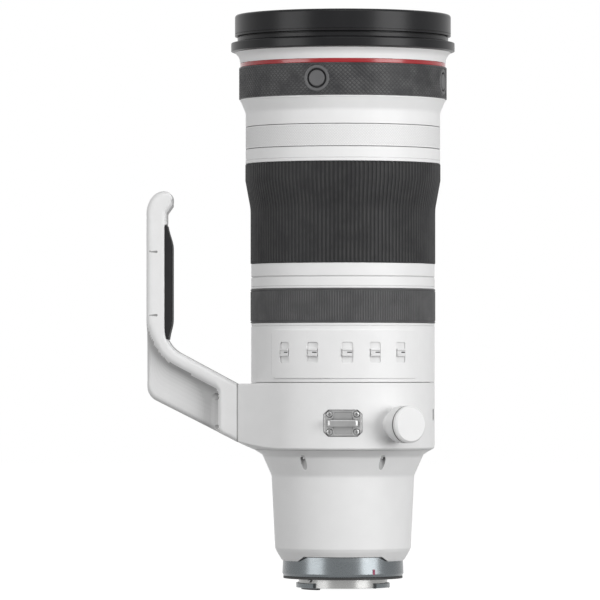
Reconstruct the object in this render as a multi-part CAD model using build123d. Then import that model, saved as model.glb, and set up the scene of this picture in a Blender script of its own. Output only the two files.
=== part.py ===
from build123d import *
import os
from math import acos, atan2, cos, degrees, hypot, radians, sin, tan

# A camera zoom lens with its rotating tripod collar, foot and lock knob.
# Lengths are in millimetres. The origin is the centre of the mount flange face,
# and +Z runs along the optical axis to the front. Angles round the axis start at
# the side with the switches (-Y) and grow towards +X. The foot points to -X.

# Fits and gaps
slide_clearance = 0.05
seat_clearance = 0.05
ring_gap = 0.15
part_gap = 0.3
overrun = 4.0
edge_break = 0.35

# Lengths along the axis, from the mount to the front
mount_ring_height = 8.5
rear_barrel_height = 61.7
collar_cone_height = 3.1
collar_height = 39.0
switch_barrel_height = 33.35
focus_ring_height = 19.85
middle_band_height = 14.3
zoom_ring_height = 57.8
skirt_height = 8.9
control_ring_height = 13.0
control_barrel_height = 15.2
button_ring_height = 19.1
red_band_height = 2.5
flare_height = 5.2
front_ring_height = 22.0

rear_barrel_low = mount_ring_height
rear_barrel_high = rear_barrel_low + rear_barrel_height
collar_low = rear_barrel_high + collar_cone_height
collar_high = collar_low + collar_height
focus_ring_low = collar_high + switch_barrel_height
focus_ring_high = focus_ring_low + focus_ring_height
zoom_ring_low = focus_ring_high + middle_band_height
zoom_ring_high = zoom_ring_low + zoom_ring_height
control_ring_low = zoom_ring_high + skirt_height
control_ring_high = control_ring_low + control_ring_height
button_ring_low = control_ring_high + control_barrel_height
button_ring_high = button_ring_low + button_ring_height
red_band_high = button_ring_high + red_band_height
front_ring_low = red_band_high + flare_height
front_ring_high = front_ring_low + front_ring_height

# Outer radii, each a step from the one behind it
mount_ring_radius = 35.0
rear_foot_step = 0.8
rear_foot_height = 1.1
rear_chamfer_step = 2.6
rear_chamfer_height = 5.2
rear_shoulder_step = 0.7
rear_shoulder_height = 1.7
rear_taper_step = 1.7
rear_flare_height = 19.1
barrel_step = 17.9
rear_flare_inset = 6.4
collar_cone_inset = 1.7
collar_edge = 1.5
front_step = 3.2
button_ring_step = 3.8
red_band_inset = 0.7
front_ring_step = 2.4
front_flange_step = 2.2
rubber_relief = 0.4

barrel_radius = mount_ring_radius + barrel_step
rear_foot_radius = mount_ring_radius + rear_foot_step
rear_waist_radius = rear_foot_radius + rear_chamfer_step
rear_barrel_radius = rear_waist_radius + rear_shoulder_step
rear_flare_radius = barrel_radius - rear_flare_inset
collar_cone_radius = barrel_radius - collar_cone_inset
front_barrel_radius = barrel_radius + front_step
button_ring_radius = front_barrel_radius + button_ring_step
red_band_radius = button_ring_radius - red_band_inset
front_ring_radius = button_ring_radius + front_ring_step
front_flange_radius = front_ring_radius + front_flange_step
grip_radius = barrel_radius + rubber_relief

# Nested tubes, from the outside in
collar_wall = 3.0
ring_depth = 2.3
main_wall = 2.0
main_shoulder = 1.0
main_back_wall = 4.7
cam_wall = 1.7
guide_wall = 1.6
guide_flange_height = 2.5
sleeve_wall = 1.25
zoom_cell_wall = 2.8

collar_track_radius = barrel_radius - collar_wall
track_radius = barrel_radius - ring_depth
sleeve_bore = track_radius + slide_clearance
sleeve_radius = sleeve_bore + sleeve_wall
cam_chamber_radius = track_radius - main_wall
main_bore = cam_chamber_radius - main_shoulder
cam_radius = cam_chamber_radius - slide_clearance
cam_bore = cam_radius - cam_wall
guide_radius = cam_bore - slide_clearance
guide_bore = guide_radius - guide_wall
zoom_cell_radius = guide_bore - slide_clearance
main_wall_high = collar_low + main_back_wall

# Zoom action
zoom_angle = 75.0
zoom_travel = 30.0
follower_count = 3
follower_start_angle = 60.0
follower_radius = 2.0
follower_pin_radius = 1.2
follower_inset = 0.3
guide_seat_offset = 3.7
follower_rise = 49.0
zoom_cell_height = 26.0
zoom_cell_lip = 3.0
zoom_lens_edge = 7.0
zoom_lens_front_bulge = 3.0
zoom_lens_rear_bulge = 1.5
key_radius = 2.0
key_angle = 180.0
key_below_ring_end = 22.0
tube_end_rise = 5.4
guide_end_rise = 8.0

guide_seat = collar_high + guide_seat_offset
follower_height = guide_seat + follower_rise
key_height = zoom_ring_high - key_below_ring_end
main_barrel_high = zoom_ring_high + tube_end_rise
follower_slot_radius = follower_radius + slide_clearance

# Zoom grip: the rubber widens towards the front and has straight ribs all round
zoom_rib_count = 144
zoom_rib_share = 0.55
zoom_rib_depth = 0.55
grip_front_height = 9.9
grip_flare_height = 15.7
grip_edge = 0.6
rubber_inner_step = 1.7
focus_rubber_groove_depth = 0.35
focus_rubber_groove_width = 0.5
focus_rubber_lip = 1.1

# Grooves that part the white rings
groove_width = 0.45
groove_depth = 0.5
middle_groove_rise = 7.5
middle_line_rise = 1.5
skirt_groove_rise = 1.9

# Front end
front_track_inset = 2.7
button_track_inset = 2.7
front_tube_wall = 1.5
front_ring_wall = 6.3
filter_thread_depth = 5.5
front_bore_inset = 1.2
groove_floor_inset = 2.3
groove_low_rise = 6.4
groove_floor_rise = 7.9
groove_floor_width = 1.0
groove_high_rise = 10.2
hood_line_rise = 11.2
front_flange_chamfer = 0.9
front_flange_chamfer_inset = 1.9
front_corner = 1.5
front_cell_low_rise = 10.3
front_cell_high_rise = 12.0
front_cell_wall = 2.4
front_lens_seat_wall = 1.35
front_lens_low_rise = 2.5
front_lens_edge = 5.0
front_lens_front_bulge = 8.0
front_lens_rear_bulge = 2.4
retaining_ring_wall = 1.9
retaining_slot_width = 2.2
retaining_slot_depth = 1.0

front_track_radius = front_barrel_radius - front_track_inset
front_tube_radius = button_ring_radius - button_track_inset
front_tube_bore = front_tube_radius - front_tube_wall
filter_bore = front_ring_radius - front_ring_wall
front_inner_radius = filter_bore - front_bore_inset
front_cell_radius = front_inner_radius - seat_clearance
front_cell_low = button_ring_low + front_cell_low_rise
front_cell_high = front_ring_low + front_cell_high_rise
front_lens_low = front_ring_low + front_lens_low_rise
front_lens_high = front_lens_low + front_lens_edge
front_lens_bore = front_cell_radius - front_lens_seat_wall
front_lens_radius = front_lens_bore - seat_clearance

# Function buttons, in bezels round the dark ring
button_count = 4
button_first_angle = -14.5
button_rise = 9.6
button_well_radius = 6.0
button_well_depth = 0.9
button_radius = 4.6
button_hole_radius = 4.7
button_travel = 0.6
button_crown = 0.25
button_height_above_well = 0.75

# Slide switches and the two raised plates that they stand in
panel_plates = [(-49.5, -8.2, 0.9), (-8.2, 54.0, 0.5)]
panel_low_rise = 1.8
panel_height = 27.5
panel_corner = 3.0
panel_joint = 0.1
switch_angles = [-38.4, -18.8, 2.6, 20.1, 38.1]
switch_rise = 16.5
switch_travel = 2.0
window_width = 6.3
window_height = 11.8
window_corner = 0.8
slider_side_lap = 0.7
slider_end_lap = 0.4
slider_base_height = 1.8
slider_floor_gap = 0.1
slider_width = 5.7
slider_height = 4.5
slider_proud = 1.5
slider_notch_width = 2.0
slider_notch_depth = 0.4

switch_height = collar_high + switch_rise
pocket_floor = track_radius + slide_clearance
slider_base_low = pocket_floor + slider_floor_gap
slider_base_width = window_width + slider_side_lap * 2
slider_base_length = window_height + switch_travel * 2 + slider_end_lap * 2
pocket_width = slider_base_width + part_gap
pocket_length = slider_base_length + switch_travel * 2 + part_gap

# Collar, with its boss for the foot and its neck for the lock knob
boss_reach = 7.4
boss_width = 32.0
boss_top_inset = 1.5
boss_low_rise = 4.0
knob_angle = 33.5
knob_rise = 14.7
neck_radius = 7.4
neck_reach = 6.4
knob_radius = 10.4
knob_height = 10.7
knob_chamfer = 1.6
knob_base_chamfer = 0.5
knob_groove_from_face = 3.0
knob_groove_width = 0.5
knob_groove_depth = 0.4
stud_radius = 2.45
stud_tip_gap = 0.25
security_slot_height = 7.0
security_slot_width = 3.0
security_slot_depth = 1.9
security_slot_rise = 19.7

collar_radius = barrel_radius
seam_reach = collar_radius + boss_reach
knob_height_above_flange = collar_low + knob_rise

# Strap lugs
lug_angles = [0.0, 180.0]
lug_rise = 15.4
lug_plate_width = 21.8
lug_plate_height = 15.1
lug_plate_corner = 2.6
lug_plate_thickness = 1.2
lug_recess_depth = 0.8
lug_bar_length = 19.0
lug_bar_height = 3.2
lug_bar_thickness = 1.8
lug_bar_gap = 3.2
lug_bar_corner = 2.2
lug_screw_across = 7.6
lug_screw_up = 5.0
lug_screw_head_radius = 1.8
lug_screw_head_height = 0.6
lug_screw_radius = 0.8
lug_screw_length = 2.6
lug_screw_drive_radius = 0.8
lug_screw_drive_depth = 0.3

lug_height = collar_low + lug_rise
lug_floor = collar_radius - lug_recess_depth
lug_face = lug_floor + lug_plate_thickness

# Tripod foot: a strap that leaves the collar on a slope, turns and ends in a hook
foot_width = 32.0
foot_web_width = 18.0
foot_reach = 52.3
foot_face_step = 0.3
foot_thickness = 10.2
foot_slope_thickness = 8.5
foot_upper_slope = 28.3
foot_lower_slope = 26.9
foot_inner_corner = 18.0
foot_outer_corner = 9.0
foot_strap_corner = 26.0
foot_column = 10.4
foot_top_above_collar = 109.3
hook_overhang = 4.4
hook_shelf = 1.2
hook_drop = 8.3
hook_slope_height = 4.1
hook_outer_corner = 10.4
hook_inner_corner = 4.4
foot_edge_round = 2.2
pad_low_above_collar = 24.0
pad_high_above_collar = 89.6
pad_thickness = 4.4
pad_low_slope_height = 10.0
pad_high_slope_height = 9.4
pad_tip_thickness = 1.4
pad_heel_step = 2.9
side_mark_radius = 0.7
side_mark_length = 5.0
side_mark_depth = 0.6
side_mark_inset = 5.8
insert_radius_outer = 6.5
insert_depth = 7.5
small_thread_radius = 3.175
large_thread_radius = 4.7625
small_thread_above_collar = 77.0
large_thread_above_collar = 43.0
foot_screw_heights_above_collar = [11.9, 30.3]
foot_screw_across = 12.5
foot_screw_radius = 2.0
foot_screw_head_radius = 2.75
foot_screw_head_height = 2.4
foot_screw_drive_radius = 1.6
foot_screw_sink = 1.0
foot_screw_depth = 6.8

foot_face_reach = seam_reach + foot_reach
foot_outer_reach = foot_face_reach + foot_face_step
foot_inner_reach = foot_face_reach - foot_thickness
foot_top = collar_high + foot_top_above_collar
pad_low = collar_high + pad_low_above_collar
pad_high = collar_high + pad_high_above_collar

# Mount end
mount_rise_height = 2.9
mount_rise_top_turn = 38.95
mount_rise_low_turn = 47.25
mount_rise_wall = 1.8
mount_chamfer = 0.6
gasket_width = 1.1
gasket_proud = 0.8
gasket_seat = 0.3
throat_inset = 10.9
bayonet_wall = 1.5
bayonet_length = 6.3
lug_reach = 1.4
lug_length = 2.7
bayonet_lug_count = 3
bayonet_lug_first_angle = -72.0
bayonet_lug_span = 66.0
stop_stud_angle = -47.0
stop_stud_radius = 0.8
stop_stud_drop = 2.9
stop_stud_reach = 1.3
contact_angle = -90.0
contact_span = 100.0
contact_thickness = 3.8
contact_low = 7.4
contact_high = 3.0
contact_pin_count = 12
contact_pin_spacing = 7.4
contact_pin_radius = 0.6
contact_pin_sink = 0.1
contact_pin_length = 3.0
baffle_low = 4.0
baffle_frame_turn = 33.7
baffle_rim = 2.48
baffle_opening_corner = 3.0
mount_screw_count = 4
mount_screw_first_angle = 15.0
mount_screw_inset = 5.3
mount_screw_head_radius = 1.9
mount_screw_head_height = 1.2
mount_screw_radius = 0.95
mount_screw_engagement = 3.0

throat_radius = mount_ring_radius - throat_inset
bayonet_radius = throat_radius + bayonet_wall
bayonet_lug_radius = bayonet_radius + lug_reach
gasket_radius = mount_ring_radius - mount_chamfer - seat_clearance
mount_screw_circle = mount_ring_radius - mount_screw_inset
mount_rise_half_top = mount_ring_radius * sin(radians(mount_rise_top_turn))
mount_rise_half_low = mount_ring_radius * sin(radians(mount_rise_low_turn))
baffle_corner_reach = throat_radius - baffle_rim
baffle_opening_width = baffle_corner_reach * cos(radians(baffle_frame_turn)) * 2
baffle_opening_height = baffle_corner_reach * sin(radians(baffle_frame_turn)) * 2

# Rear barrel and the screws that join it to the main barrel
rear_back_wall = 3.5
rear_back_bore_inset = 7.5
rear_socket_height = 5.5
rear_cavity_step = 3.8
rear_cavity_slope = 1.5
rear_screw_count = 6
rear_screw_first_angle = -30.0
rear_screw_inset = 8.25
rear_screw_pocket_radius = 1.85
rear_screw_seat_drop = 4.0
rear_screw_head_radius = 1.7
rear_screw_head_height = 1.5
rear_screw_radius = 1.2
rear_screw_engagement = 3.2

rear_tube_inset = 2.0
rear_tube_radius = mount_ring_radius - rear_tube_inset
rear_tube_socket = rear_tube_radius + seat_clearance
rear_cavity_radius = rear_tube_socket + rear_cavity_step
rear_wall_high = rear_barrel_low + rear_back_wall
rear_screw_circle = barrel_radius - rear_screw_inset
rear_screw_seat = collar_low - rear_screw_seat_drop

# Rear inner tube with the iris, the stabiliser, the focus group and the rear lens
rear_tube_wall = 1.5
rear_tube_flange_height = 2.5
rear_lens_bore_inset = 11.4
rear_lens_low_rise = 12.0
rear_lens_edge = 7.0
rear_lens_stop = 2.1
rear_lens_front_bulge = 2.5
rear_lens_rear_bulge = 1.5
rear_lens_tube_wall = 1.6
rear_web = 3.0
board_rise = 11.0
board_seat_height = 2.0
board_seat_width = 1.5
board_thickness = 1.6
board_width = 3.5
board_notch_width = 6.0

stabiliser_floor = 2.0
stabiliser_wall = 1.9
stabiliser_bore_inset = 15.5
stabiliser_height = 15.0
stabiliser_travel = 1.0
carrier_height = 3.0
carrier_bore_step = 2.0
carrier_wall_gap = 0.6
stabiliser_cell_height = 6.8
stabiliser_cell_inset = 1.6
stabiliser_lens_stop = 1.5
stabiliser_lens_edge = 4.5
stabiliser_lens_front_bulge = 2.0
stabiliser_lens_rear_bulge = 0.8
sliding_gap = 0.1

iris_gap = 4.0
iris_height = 8.0
iris_floor = 1.5
iris_wall = 1.6
iris_bore_inset = 12.5
blade_count = 9
blade_thickness = 0.25
blade_level_gap = 0.1
blade_span = 100.0
blade_inset = 0.6
blade_reach = 2.4
iris_end_wall = 2.0

focus_cell_height = 12.0
focus_cell_gap = 0.6
focus_cell_lip = 2.0
focus_cell_wall = 8.8
focus_lens_edge = 6.0
focus_lens_front_bulge = 1.2
focus_lens_rear_bulge = -1.8
focus_rise_share = 0.45
rod_radius = 1.5
rod_inset = 3.4
rod_end = 1.0
rod_angles = [0.0, 120.0, 240.0]

rear_tube_bore = rear_tube_radius - rear_tube_wall
rear_lens_bore = rear_tube_radius - rear_lens_bore_inset
stabiliser_bore = rear_tube_bore - stabiliser_bore_inset
iris_bore = rear_tube_bore - iris_bore_inset
rear_lens_low = rear_wall_high + rear_lens_low_rise
rear_lens_high = rear_lens_low + rear_lens_edge
rear_web_high = rear_lens_high + rear_web * 2
stabiliser_low = main_wall_high
stabiliser_high = stabiliser_low + stabiliser_height
iris_low = stabiliser_high + iris_gap
iris_high = iris_low + iris_height
rear_tube_high = iris_high + iris_end_wall
rod_circle = rear_tube_bore - rod_inset
stabiliser_housing_radius = rear_tube_bore - seat_clearance
stabiliser_chamber_radius = stabiliser_housing_radius - stabiliser_wall
carrier_radius = stabiliser_chamber_radius - stabiliser_travel - carrier_wall_gap
stabiliser_cell_radius = carrier_radius - stabiliser_cell_inset
carrier_low = stabiliser_low + stabiliser_floor + sliding_gap
stabiliser_cell_low = carrier_low + carrier_height + sliding_gap
focus_space = stabiliser_low - rear_web_high - focus_cell_height
focus_cell_low = rear_web_high + focus_space * focus_rise_share
focus_cell_radius = rear_tube_bore - focus_cell_gap
focus_cell_bore = focus_cell_radius - focus_cell_wall


def revolved(points):
    """Solid of revolution of a closed outline of (radius, height) points."""
    outline = Polyline(*points, close=True)
    return revolve(make_face(Plane.XZ * outline), Axis.Z)


def sleeve(inner, outer, low, high, bevel=0):
    """Plain ring, with its two outer edges broken where a bevel is given."""
    if bevel:
        outside = [(outer - bevel, low), (outer, low + bevel), (outer, high - bevel), (outer - bevel, high)]
    else:
        outside = [(outer, low), (outer, high)]
    return revolved([(inner, low), *outside, (inner, high)])


def groove(radius, middle, width=groove_width, depth=groove_depth):
    """Cutter for a groove round the outside of a ring."""
    half = width / 2
    return revolved([
        (radius - depth, middle), (radius, middle - half),
        (radius + overrun, middle - half), (radius + overrun, middle + half), (radius, middle + half),
    ])


def ring_sector(inner, outer, low, high, middle, span):
    """Part of a ring, given by its middle angle and its span."""
    outline = Polyline((inner, low), (outer, low), (outer, high), (inner, high), close=True)
    section = make_face(Plane.XZ * outline)
    return Rot(0, 0, middle - 90 - span / 2) * revolve(section, Axis.Z, revolution_arc=span)


def outward(angle, height, distance=0):
    """Plane that faces away from the axis, with its own X along the circle and its Y up."""
    turn = radians(angle)
    away = Vector(sin(turn), -cos(turn), 0)
    return Plane(origin=away * distance + Vector(0, 0, height), x_dir=(cos(turn), sin(turn), 0), z_dir=away)


def upward(angle, distance, height):
    """Plane that faces along the optical axis, at a place round the circle."""
    turn = radians(angle)
    place = (distance * sin(turn), -distance * cos(turn), height)
    return Plane(origin=place, x_dir=(cos(turn), sin(turn), 0), z_dir=(0, 0, 1))


def pin(plane, radius, length):
    """Round bar that starts on a plane."""
    return extrude(plane * Circle(radius), length)


def spread(count, first=0.0):
    """Angles of a number of places set evenly round the circle."""
    return [first + 360 * i / count for i in range(count)]


def lens_element(radius, low, high, front_bulge, rear_bulge, rim):
    """Glass with two spherical faces inside a flat rim; a negative bulge is hollow."""
    clear = radius - rim
    front = TangentArc((0, high + front_bulge), (clear, high), tangent=(1, 0))
    edge = Polyline((clear, high), (radius, high), (radius, low), (clear, low))
    rear = TangentArc((0, low - rear_bulge), (clear, low), tangent=(1, 0))
    middle = Line((0, low - rear_bulge), (0, high + front_bulge))
    return revolve(make_face([Plane.XZ * part for part in (front, *edge.edges(), rear, middle)]), Axis.Z)


def side_prism(points, width, radii=None):
    """Block with its outline in the XZ plane, centred on the foot's middle plane."""
    outline = make_face(Plane.XZ * Polyline(*points, close=True))
    if radii:
        for (x, z), radius in radii.items():
            corner = outline.vertices().sort_by_distance((x, 0, z))[0]
            outline = fillet(corner, radius)
    return extrude(outline, width / 2, both=True)


# Mount end

def make_mount_ring():
    body = revolved([
        (throat_radius, -bayonet_length), (bayonet_radius, -bayonet_length), (bayonet_radius, 0),
        (gasket_radius - gasket_width, 0), (gasket_radius - gasket_width, gasket_seat),
        (mount_ring_radius - mount_chamfer, gasket_seat),
        (mount_ring_radius, gasket_seat + mount_chamfer),
        (mount_ring_radius, mount_ring_height), (throat_radius, mount_ring_height),
    ])
    for angle in spread(bayonet_lug_count, bayonet_lug_first_angle):
        body += ring_sector(throat_radius, bayonet_lug_radius, -bayonet_length, lug_length - bayonet_length,
                            angle, bayonet_lug_span)
    stud = outward(stop_stud_angle, -stop_stud_drop, bayonet_radius - edge_break)
    body += pin(stud, stop_stud_radius, edge_break + stop_stud_reach)
    raised = sleeve(mount_ring_radius - mount_rise_wall, mount_ring_radius,
                    mount_ring_height, mount_ring_height + mount_rise_height)
    body += raised & mount_rise_shape(0)
    for angle in spread(mount_screw_count, mount_screw_first_angle):
        place = upward(angle, mount_screw_circle, 0)
        body -= pin(place, mount_screw_radius + seat_clearance, mount_ring_height)
        body -= pin(place, mount_screw_head_radius + seat_clearance, mount_screw_head_height)
    return body


def mount_rise_shape(gap):
    """Wedge-ended block that the raised parts of the mount ring fill, front and back."""
    half_top = mount_rise_half_top + gap
    half_low = mount_rise_half_low + gap
    low = mount_ring_height
    high = low + mount_rise_height + gap
    outline = make_face(Plane.XZ * Polyline((-half_low, low), (half_low, low), (half_top, high),
                                            (-half_top, high), close=True))
    return extrude(outline, mount_ring_radius + barrel_step, both=True)


def make_mount_gasket():
    return sleeve(gasket_radius - gasket_width, gasket_radius, -gasket_proud, gasket_seat)


def make_mount_screws():
    screws = []
    for angle in spread(mount_screw_count, mount_screw_first_angle):
        place = upward(angle, mount_screw_circle, 0)
        head = pin(place, mount_screw_head_radius, mount_screw_head_height)
        shank = pin(place, mount_screw_radius, mount_ring_height + mount_screw_engagement)
        screws.append(head + shank)
    return screws


def make_contact_block():
    outer = throat_radius - seat_clearance
    inner = outer - contact_thickness
    block = ring_sector(inner, outer, -contact_low, contact_high, contact_angle, contact_span)
    for angle in contact_pin_angles():
        place = upward(angle, outer - contact_thickness / 2, -contact_low)
        block -= pin(place, contact_pin_radius + seat_clearance, contact_pin_length)
    return block


def contact_pin_angles():
    first = contact_angle - contact_pin_spacing * (contact_pin_count - 1) / 2
    return [first + contact_pin_spacing * i for i in range(contact_pin_count)]


def make_contact_pins():
    distance = throat_radius - seat_clearance - contact_thickness / 2
    low = contact_pin_sink - contact_low
    return [pin(upward(angle, distance, low), contact_pin_radius, contact_pin_length - contact_pin_sink)
            for angle in contact_pin_angles()]


def make_rear_baffle():
    plate = sleeve(0, throat_radius - seat_clearance, baffle_low, mount_ring_height)
    opening = RectangleRounded(baffle_opening_width, baffle_opening_height, baffle_opening_corner)
    return plate - extrude(Pos(0, 0, baffle_low) * opening, mount_ring_height)


# Rear barrel

def make_rear_barrel():
    low = rear_barrel_low
    foot_high = low + rear_foot_height
    chamfer_high = foot_high + rear_chamfer_height
    shoulder_high = chamfer_high + rear_shoulder_height
    flare_low = rear_barrel_high - rear_flare_height
    flare_low_radius = rear_barrel_radius + rear_taper_step
    taper = (rear_taper_step, flare_low - shoulder_high)
    cavity_low = rear_wall_high + rear_socket_height
    bore = mount_ring_radius - rear_back_bore_inset
    flare = TangentArc((flare_low_radius, flare_low), (rear_flare_radius, rear_barrel_high), tangent=taper)
    skin = Polyline((mount_ring_radius, low), (rear_foot_radius, foot_high), (rear_waist_radius, chamfer_high),
                    (rear_barrel_radius, shoulder_high), (flare_low_radius, flare_low))
    inside = Polyline(
        (rear_flare_radius, rear_barrel_high), (collar_cone_radius, collar_low),
        (rear_cavity_radius, collar_low), (rear_cavity_radius, cavity_low + rear_cavity_slope),
        (rear_tube_socket, cavity_low), (rear_tube_socket, rear_wall_high), (bore, rear_wall_high),
        (bore, low), (mount_ring_radius, low))
    edges = skin.edges() + flare.edges() + inside.edges()
    body = revolve(make_face([Plane.XZ * edge for edge in edges]), Axis.Z)
    ring_room = sleeve(mount_ring_radius - mount_rise_wall - part_gap, barrel_radius,
                       low - overrun, low + mount_rise_height + part_gap)
    body -= ring_room & mount_rise_shape(part_gap)
    for angle in spread(rear_screw_count, rear_screw_first_angle):
        place = upward(angle, rear_screw_circle, rear_screw_seat)
        body -= pin(place, rear_screw_pocket_radius, -rear_flare_height)
        body -= pin(place, rear_screw_radius + seat_clearance, rear_screw_seat_drop)
    for angle in spread(mount_screw_count, mount_screw_first_angle):
        body -= pin(upward(angle, mount_screw_circle, low), mount_screw_radius + seat_clearance, rear_back_wall)
    return body


def make_rear_barrel_screws():
    screws = []
    for angle in spread(rear_screw_count, rear_screw_first_angle):
        place = upward(angle, rear_screw_circle, rear_screw_seat)
        head = pin(place, rear_screw_head_radius, -rear_screw_head_height)
        head -= extrude(place.offset(-rear_screw_head_height) * RegularPolygon(rear_screw_radius, 6),
                        rear_screw_head_height / 2)
        shank = pin(place, rear_screw_radius, rear_screw_seat_drop + rear_screw_engagement)
        screws.append(head + shank)
    return screws


def make_rear_inner_barrel():
    tube_inner = rear_lens_bore
    tube_outer = rear_lens_bore + rear_lens_tube_wall
    web_low = rear_web_high - rear_web
    board_seat = rear_wall_high + board_rise
    flange_radius = main_bore - part_gap
    body = revolved([
        (tube_inner, rear_wall_high), (tube_outer, rear_wall_high), (tube_outer, web_low),
        (rear_tube_bore, web_low), (rear_tube_bore, rear_wall_high), (rear_tube_radius, rear_wall_high),
        (rear_tube_radius, board_seat - board_seat_height),
        (rear_tube_radius + board_seat_width, board_seat - board_seat_height),
        (rear_tube_radius + board_seat_width, board_seat), (rear_tube_radius, board_seat),
        (rear_tube_radius, main_wall_high), (flange_radius, main_wall_high),
        (flange_radius, main_wall_high + rear_tube_flange_height),
        (rear_tube_radius, main_wall_high + rear_tube_flange_height), (rear_tube_radius, rear_tube_high),
        (rear_tube_bore, rear_tube_high), (rear_tube_bore, rear_web_high),
        (tube_inner - rear_lens_stop, rear_web_high), (tube_inner - rear_lens_stop, rear_lens_high),
        (tube_inner, rear_lens_high),
    ])
    for angle in rod_angles:
        body -= pin(upward(angle, rod_circle, rear_web_high - rod_end), rod_radius + seat_clearance, overrun)
    return body


def make_rear_lens():
    return lens_element(rear_lens_bore - seat_clearance, rear_lens_low, rear_lens_high,
                        rear_lens_front_bulge, rear_lens_rear_bulge, rear_lens_stop)


def make_circuit_board():
    inner = rear_tube_radius + seat_clearance
    low = rear_wall_high + board_rise
    board = sleeve(inner, inner + board_width, low, low + board_thickness)
    notch = Box(rear_cavity_radius * 2, board_notch_width, board_thickness,
                align=(Align.MIN, Align.CENTER, Align.MIN))
    return board - Pos(0, 0, low) * notch


# Focus group and stabiliser

def make_focus_guide_rods():
    low = rear_web_high - rod_end + seat_clearance
    length = stabiliser_low + rod_end - seat_clearance - low
    return [pin(upward(angle, rod_circle, low), rod_radius, length) for angle in rod_angles]


def make_focus_cell():
    low, high = focus_cell_low, focus_cell_low + focus_cell_height
    cell = revolved([
        (focus_cell_bore - focus_cell_lip, low), (focus_cell_radius, low), (focus_cell_radius, high),
        (focus_cell_bore, high), (focus_cell_bore, low + focus_cell_lip),
        (focus_cell_bore - focus_cell_lip, low + focus_cell_lip),
    ])
    for angle in rod_angles:
        cell -= pin(upward(angle, rod_circle, low), rod_radius + slide_clearance, focus_cell_height)
    return cell


def make_focus_lens():
    low = focus_cell_low + focus_cell_lip
    return lens_element(focus_cell_bore - seat_clearance, low, low + focus_lens_edge,
                        focus_lens_front_bulge, focus_lens_rear_bulge, focus_cell_lip)


def make_stabiliser_housing():
    floor_high = stabiliser_low + stabiliser_floor
    housing = revolved([
        (stabiliser_bore, stabiliser_low), (stabiliser_housing_radius, stabiliser_low),
        (stabiliser_housing_radius, stabiliser_high), (stabiliser_chamber_radius, stabiliser_high),
        (stabiliser_chamber_radius, floor_high), (stabiliser_bore, floor_high),
    ])
    for angle in rod_angles:
        housing -= pin(upward(angle, rod_circle, stabiliser_low), rod_radius + seat_clearance, rod_end)
    return housing


def make_stabiliser_carrier():
    inner = stabiliser_bore + carrier_bore_step
    return sleeve(inner, carrier_radius, carrier_low, carrier_low + carrier_height)


def stabiliser_lens_radius():
    return stabiliser_bore + stabiliser_lens_stop - seat_clearance


def make_stabiliser_cell():
    low, high = stabiliser_cell_low, stabiliser_cell_low + stabiliser_cell_height
    seat = stabiliser_bore + stabiliser_lens_stop
    return revolved([
        (stabiliser_bore, low), (stabiliser_cell_radius, low), (stabiliser_cell_radius, high), (seat, high),
        (seat, low + stabiliser_lens_stop), (stabiliser_bore, low + stabiliser_lens_stop),
    ])


def make_stabiliser_lens():
    low = stabiliser_cell_low + stabiliser_lens_stop
    return lens_element(stabiliser_lens_radius(), low, low + stabiliser_lens_edge,
                        stabiliser_lens_front_bulge, stabiliser_lens_rear_bulge, stabiliser_lens_stop)


# Iris

def make_iris_housing():
    outer = rear_tube_bore - seat_clearance
    floor_high = iris_low + iris_floor
    return revolved([
        (iris_bore, iris_low), (outer, iris_low), (outer, iris_high), (outer - iris_wall, iris_high),
        (outer - iris_wall, floor_high), (iris_bore, floor_high),
    ])


def make_iris_blades():
    outer = rear_tube_bore - seat_clearance - iris_wall - blade_inset
    inner = iris_bore - blade_reach
    blades = []
    for level, angle in enumerate(spread(blade_count)):
        low = iris_low + iris_floor + blade_level_gap + level * (blade_thickness + blade_level_gap)
        blades.append(ring_sector(inner, outer, low, low + blade_thickness, angle, blade_span))
    return blades


# Main barrel and the tubes inside it

def make_main_barrel():
    back_bore = rear_tube_radius + seat_clearance
    body = revolved([
        (back_bore, collar_low), (collar_track_radius, collar_low), (collar_track_radius, collar_high),
        (barrel_radius, collar_high), (barrel_radius, focus_ring_low), (track_radius, focus_ring_low),
        (track_radius, main_barrel_high), (cam_chamber_radius, main_barrel_high),
        (cam_chamber_radius, guide_seat), (main_bore, guide_seat), (main_bore, main_wall_high),
        (back_bore, main_wall_high),
    ])
    body -= groove(barrel_radius, focus_ring_low - middle_line_rise)
    key_half = degrees((key_radius + slide_clearance) / cam_chamber_radius)
    key_slot = key_radius + slide_clearance * 2
    body -= ring_sector(cam_bore, barrel_radius, key_height - key_slot, key_height + key_slot,
                        key_angle + zoom_angle / 2, zoom_angle + key_half * 2)
    for angle in switch_angles:
        floor = outward(angle, switch_height, pocket_floor)
        body -= extrude(floor * Rectangle(pocket_width, pocket_length), overrun)
    for angle in spread(rear_screw_count, rear_screw_first_angle):
        body -= pin(upward(angle, rear_screw_circle, collar_low), rear_screw_radius + seat_clearance,
                    rear_screw_engagement + part_gap)
    return body


def make_guide_barrel():
    high = main_barrel_high + guide_end_rise
    body = revolved([
        (guide_bore, guide_seat), (cam_radius, guide_seat), (cam_radius, guide_seat + guide_flange_height),
        (guide_radius, guide_seat + guide_flange_height), (guide_radius, high), (guide_bore, high),
    ])
    for angle in spread(follower_count, follower_start_angle):
        low = outward(angle, follower_height, guide_bore - overrun)
        body -= pin(low, follower_slot_radius, overrun * 2)
        body -= pin(outward(angle, follower_height + zoom_travel, guide_bore - overrun), follower_slot_radius,
                    overrun * 2)
        middle = outward(angle, follower_height + zoom_travel / 2, guide_bore - overrun)
        body -= extrude(middle * Rectangle(follower_slot_radius * 2, zoom_travel), overrun * 2)
    return body


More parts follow.
